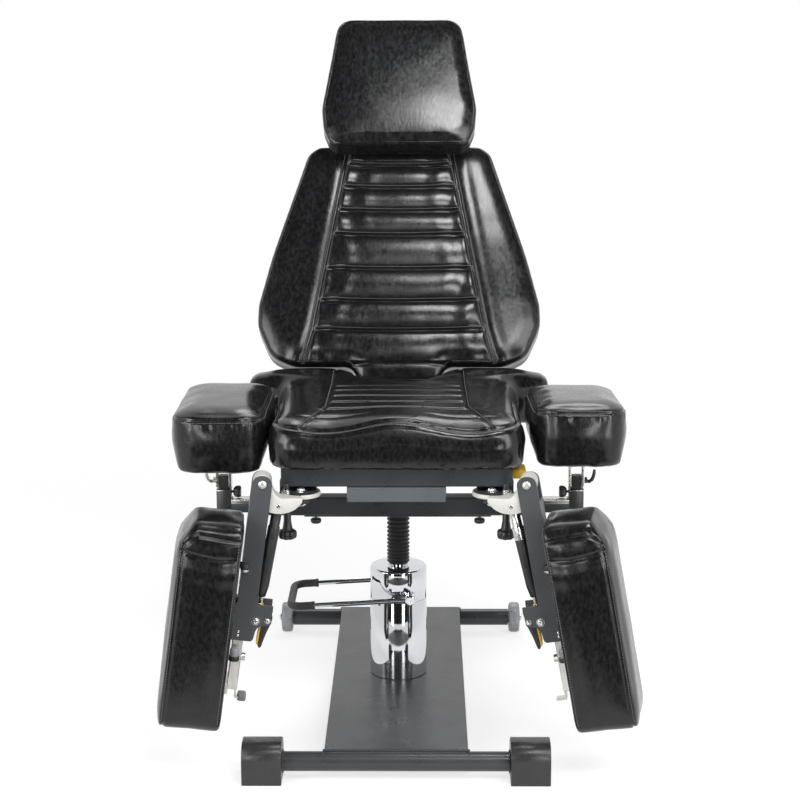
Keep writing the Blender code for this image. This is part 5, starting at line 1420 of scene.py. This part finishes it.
for side, sign in SIDES:
    place = tilt_frame[side] @ Matrix.Translation((sign * -0.0065, -CROSS_Y, 0.0555))
    cover = stuffed("armrest_pad_" + side, arm_line, 0.109, 0.007, place, "armrest_" + side,
                    "arm_pad_" + side, None, 0.006, 0.005, sew_arm, 0.006, 0.008)
    rows = [(cover, [(x, -0.30, ARM_STITCH) for x in np.linspace(-0.062, 0.062, 27)], (0, 1, 0)),
            (cover, [(-0.12, y, ARM_STITCH) for y in np.linspace(-0.225, 0.0, 40)], (1, 0, 0)),
            (cover, [(0.12, y, ARM_STITCH) for y in np.linspace(-0.225, 0.0, 40)], (-1, 0, 0))]
    stitched("armrest_stitches_" + side, rows, place, "armrest_" + side)

# %% [markdown]
# The leg pads hang beside the legs and show their long side to the camera. The cover folds over at the top,
# where a separate end panel meets the side and the outer face in a Y of seams, and the leather creases
# below it. Stitched seams run down both long edges.

# %% Leg rest cushions
LEG_HALF, LEG_TOP, LEG_FOOT, LEG_FOLD = 0.0725, 0.060, 0.451, 0.118
leg_line = rounded_outline([(-LEG_HALF, LEG_TOP, 0.034), (LEG_HALF, LEG_TOP, 0.034),
                            (LEG_HALF, LEG_FOOT, 0.026), (-LEG_HALF, LEG_FOOT, 0.026)])


def leg_bend(a, l):
    return -0.020 * (1 - smooth_step(l, LEG_TOP, 0.108))


def sew_leg(p, n):
    a, l, h = p[:, 0], p[:, 1], p[:, 2]
    side = 1 - smooth_step(np.abs(n[:, 2]), 0.55, 0.85)
    end = np.interp(h, (0.0, 0.080, 0.112), (0.087, 0.081, 0.106))
    out = -0.0030 * side * groove(l - end, 0.0030)
    fold = LEG_FOLD + 0.004 * np.sin(h * 40)
    out += -0.0030 * side * groove(l - fold, 0.0045) * smooth_step(h, 0.0, 0.03)
    out += 0.0035 * side * groove(l - fold - 0.030, 0.020)
    out += -0.0026 * side * groove(h - 0.1040, 0.0026) * (l > 0.100)
    drift = np.array([noise.noise(Vector((x * 14, y * 14, z * 14))) for x, y, z in p])
    crease = np.array([noise.noise(Vector((x * 30, y * 75, z * 30))) for x, y, z in p])
    return out + 0.0008 * drift + 0.0003 * crease * groove(l - 0.120, 0.035) * side


for side, sign in SIDES:
    face = -sign
    place = leg_frame[side] @ Matrix(((0, 0, 1, 0.0240), (face, 0, 0, face * 0.0375), (0, -1, 0, 0),
                                      (0, 0, 0, 1)))
    cover = stuffed("leg_rest_pad_" + side, leg_line, 0.112, 0.003, place, "legrest_" + side,
                    "leg_pad_" + side, leg_bend, 0.005, 0.005, sew_leg, 0.005)
    rows = []
    for look in (-1, 1):
        for h, first, last in ((0.1072, 0.114, 0.435), (0.1005, 0.114, 0.170), (0.0070, 0.095, 0.430)):
            rows.append((cover, [(look * -0.12, l, h) for l in np.linspace(first, last, 60)], (look, 0, 0)))
    stitched("leg_rest_stitches_" + side, rows, place, "legrest_" + side)
print("seven cushions stuffed and sewn")

# %% [markdown]
# The studio starts with a white surround. The Light Path node lets the camera, mirrors and clear plastic
# see it as white, while the light that it sheds on the chair stays low. A bright surround would do the same
# with fewer nodes, but it would wash out the black leather.

# %% Hang the white surround


def shown_directly(tree):
    """1 for a ray from the camera, from a mirror or through clear plastic, and 0 for the rest."""
    path = tree.nodes.new("ShaderNodeLightPath")
    shown = path.outputs["Is Camera Ray"]
    for kind in ("Is Glossy Ray", "Is Transmission Ray"):
        either = tree.nodes.new("ShaderNodeMath")
        either.operation = "MAXIMUM"
        tree.links.new(shown, either.inputs[0])
        tree.links.new(path.outputs[kind], either.inputs[1])
        shown = either.outputs[0]
    return shown


world = bpy.data.worlds.new("white_studio")
bpy.context.scene.world = world
world.use_nodes = True
tree = world.node_tree
dim = tree.nodes["Background"]
dim.inputs["Color"].default_value = (1, 1, 1, 1)
dim.inputs["Strength"].default_value = 0.30
white = tree.nodes.new("ShaderNodeBackground")
white.inputs["Color"].default_value = (1, 1, 1, 1)
white.inputs["Strength"].default_value = 1.0
choose = tree.nodes.new("ShaderNodeMixShader")
tree.links.new(shown_directly(tree), choose.inputs[0])
tree.links.new(dim.outputs[0], choose.inputs[1])
tree.links.new(white.outputs[0], choose.inputs[2])
tree.links.new(choose.outputs[0], tree.nodes["World Output"].inputs["Surface"])
print("surround hung")

# %% [markdown]
# The floor is white paper. Near the chair it is a matt sheet that takes the shadow, lifted by a little glow
# that only the camera and mirrors see. Further out it fades to plain white, so that no horizon shows.

# %% Roll out the floor
floor_mesh = bpy.data.meshes.new("studio_floor")
floor_mesh.from_pydata([(-9, -9, 0), (9, -9, 0), (9, 9, 0), (-9, 9, 0)], [], [(0, 1, 2, 3)])
floor = bpy.data.objects.new("studio_floor", floor_mesh)
bpy.context.collection.objects.link(floor)
paper = bpy.data.materials.new("white_paper")
paper.use_nodes = True
tree = paper.node_tree
tree.nodes.remove(tree.nodes["Principled BSDF"])
matt = tree.nodes.new("ShaderNodeBsdfDiffuse")
matt.inputs["Color"].default_value = (0.40, 0.40, 0.40, 1)
glow = tree.nodes.new("ShaderNodeEmission")
lift = tree.nodes.new("ShaderNodeMath")
lift.operation = "MULTIPLY"
lift.inputs[1].default_value = 0.70
near_chair = tree.nodes.new("ShaderNodeAddShader")
tree.links.new(shown_directly(tree), lift.inputs[0])
tree.links.new(lift.outputs[0], glow.inputs["Strength"])
tree.links.new(matt.outputs[0], near_chair.inputs[0])
tree.links.new(glow.outputs[0], near_chair.inputs[1])
where = tree.nodes.new("ShaderNodeTexCoord")
away = tree.nodes.new("ShaderNodeVectorMath")
away.operation = "LENGTH"
fade = tree.nodes.new("ShaderNodeMapRange")
fade.inputs["From Min"].default_value = 0.9
fade.inputs["From Max"].default_value = 2.2
far_white = tree.nodes.new("ShaderNodeEmission")
whole = tree.nodes.new("ShaderNodeMixShader")
tree.links.new(where.outputs["Object"], away.inputs[0])
tree.links.new(away.outputs["Value"], fade.inputs["Value"])
tree.links.new(fade.outputs["Result"], whole.inputs[0])
tree.links.new(near_chair.outputs[0], whole.inputs[1])
tree.links.new(far_white.outputs[0], whole.inputs[2])
tree.links.new(whole.outputs[0], tree.nodes["Material Output"].inputs["Surface"])
floor_mesh.materials.append(paper)
print("floor rolled out")

# %% [markdown]
# Gloss needs something dark to reflect beside something bright, or it looks like grey paint. Photographers
# hang black cards out of view for that. These three are seen by reflections only, so they cast no shadow
# and don't dim the light.

# %% Hang the black cards
black_card = bpy.data.materials.new("black_card")
black_card.use_nodes = True
black_card.node_tree.nodes["Principled BSDF"].inputs["Base Color"].default_value = (0.01, 0.01, 0.01, 1)
black_card.node_tree.nodes["Principled BSDF"].inputs["Roughness"].default_value = 0.9
cards = {"ceiling_card": [(-4, -4.5, 4.2), (4, -4.5, 4.2), (4, 1.2, 4.2), (-4, 1.2, 4.2)],
         "front_card": [(-5, -5.5, 0.2), (5, -5.5, 0.2), (5, -5.5, 4.2), (-5, -5.5, 4.2)],
         "floor_card": [(-1.2, -5.4, 0.004), (1.2, -5.4, 0.004), (1.2, -0.95, 0.004), (-1.2, -0.95, 0.004)]}
for name, corners in cards.items():
    mesh = bpy.data.meshes.new(name)
    mesh.from_pydata(corners, [], [(0, 1, 2, 3)])
    mesh.materials.append(black_card)
    card = bpy.data.objects.new(name, mesh)
    bpy.context.collection.objects.link(card)
    card.visible_camera = False
    card.visible_diffuse = False
    card.visible_shadow = False
print(len(cards), "black cards hung")

# %% [markdown]
# Soft lamps do the rest. A key lamp stands at the right with a weaker fill at the left, a box hangs high in
# front to draw the broad shine on headrest and back, and tall strips and low boxes give the upright faces
# their edges of light.

# %% Set up the lamps


def softbox(name, at, aim, wide, tall, watts):
    lamp = bpy.data.lights.new(name, "AREA")
    lamp.shape = "RECTANGLE"
    lamp.size, lamp.size_y = wide, tall
    lamp.energy = watts
    stand = bpy.data.objects.new(name, lamp)
    stand.location = at
    stand.rotation_euler = (Vector(aim) - Vector(at)).to_track_quat("-Z", "Y").to_euler()
    stand.visible_camera = False
    bpy.context.collection.objects.link(stand)


softbox("key_softbox", (1.9, -2.3, 2.9), (0, 0, 0.6), 1.4, 1.2, 34)
softbox("fill_softbox", (-2.4, -1.6, 2.0), (0, 0, 0.6), 1.0, 1.6, 24)
softbox("back_softbox", (0.3, 2.2, 3.0), (0, 0, 0.6), 1.6, 1.2, 24)
softbox("high_softbox", (0.75, -2.5, 3.2), (0, 0.3, 1.0), 1.1, 0.6, 30)
softbox("headrest_box", (0.26, -0.30, 1.96), (0, 0.35, 1.15), 0.45, 0.30, 9)
softbox("left_strip", (-2.0, -2.2, 1.05), (0, -0.1, 0.55), 0.45, 2.0, 28)
softbox("right_strip", (2.1, -2.1, 1.05), (0, -0.1, 0.55), 0.45, 2.0, 24)
softbox("front_right_box", (1.15, -3.2, 0.75), (0, -0.2, 0.5), 0.5, 1.2, 17)
softbox("front_left_box", (-1.25, -3.1, 0.75), (0, -0.2, 0.5), 0.4, 1.2, 14)
print("studio lit")
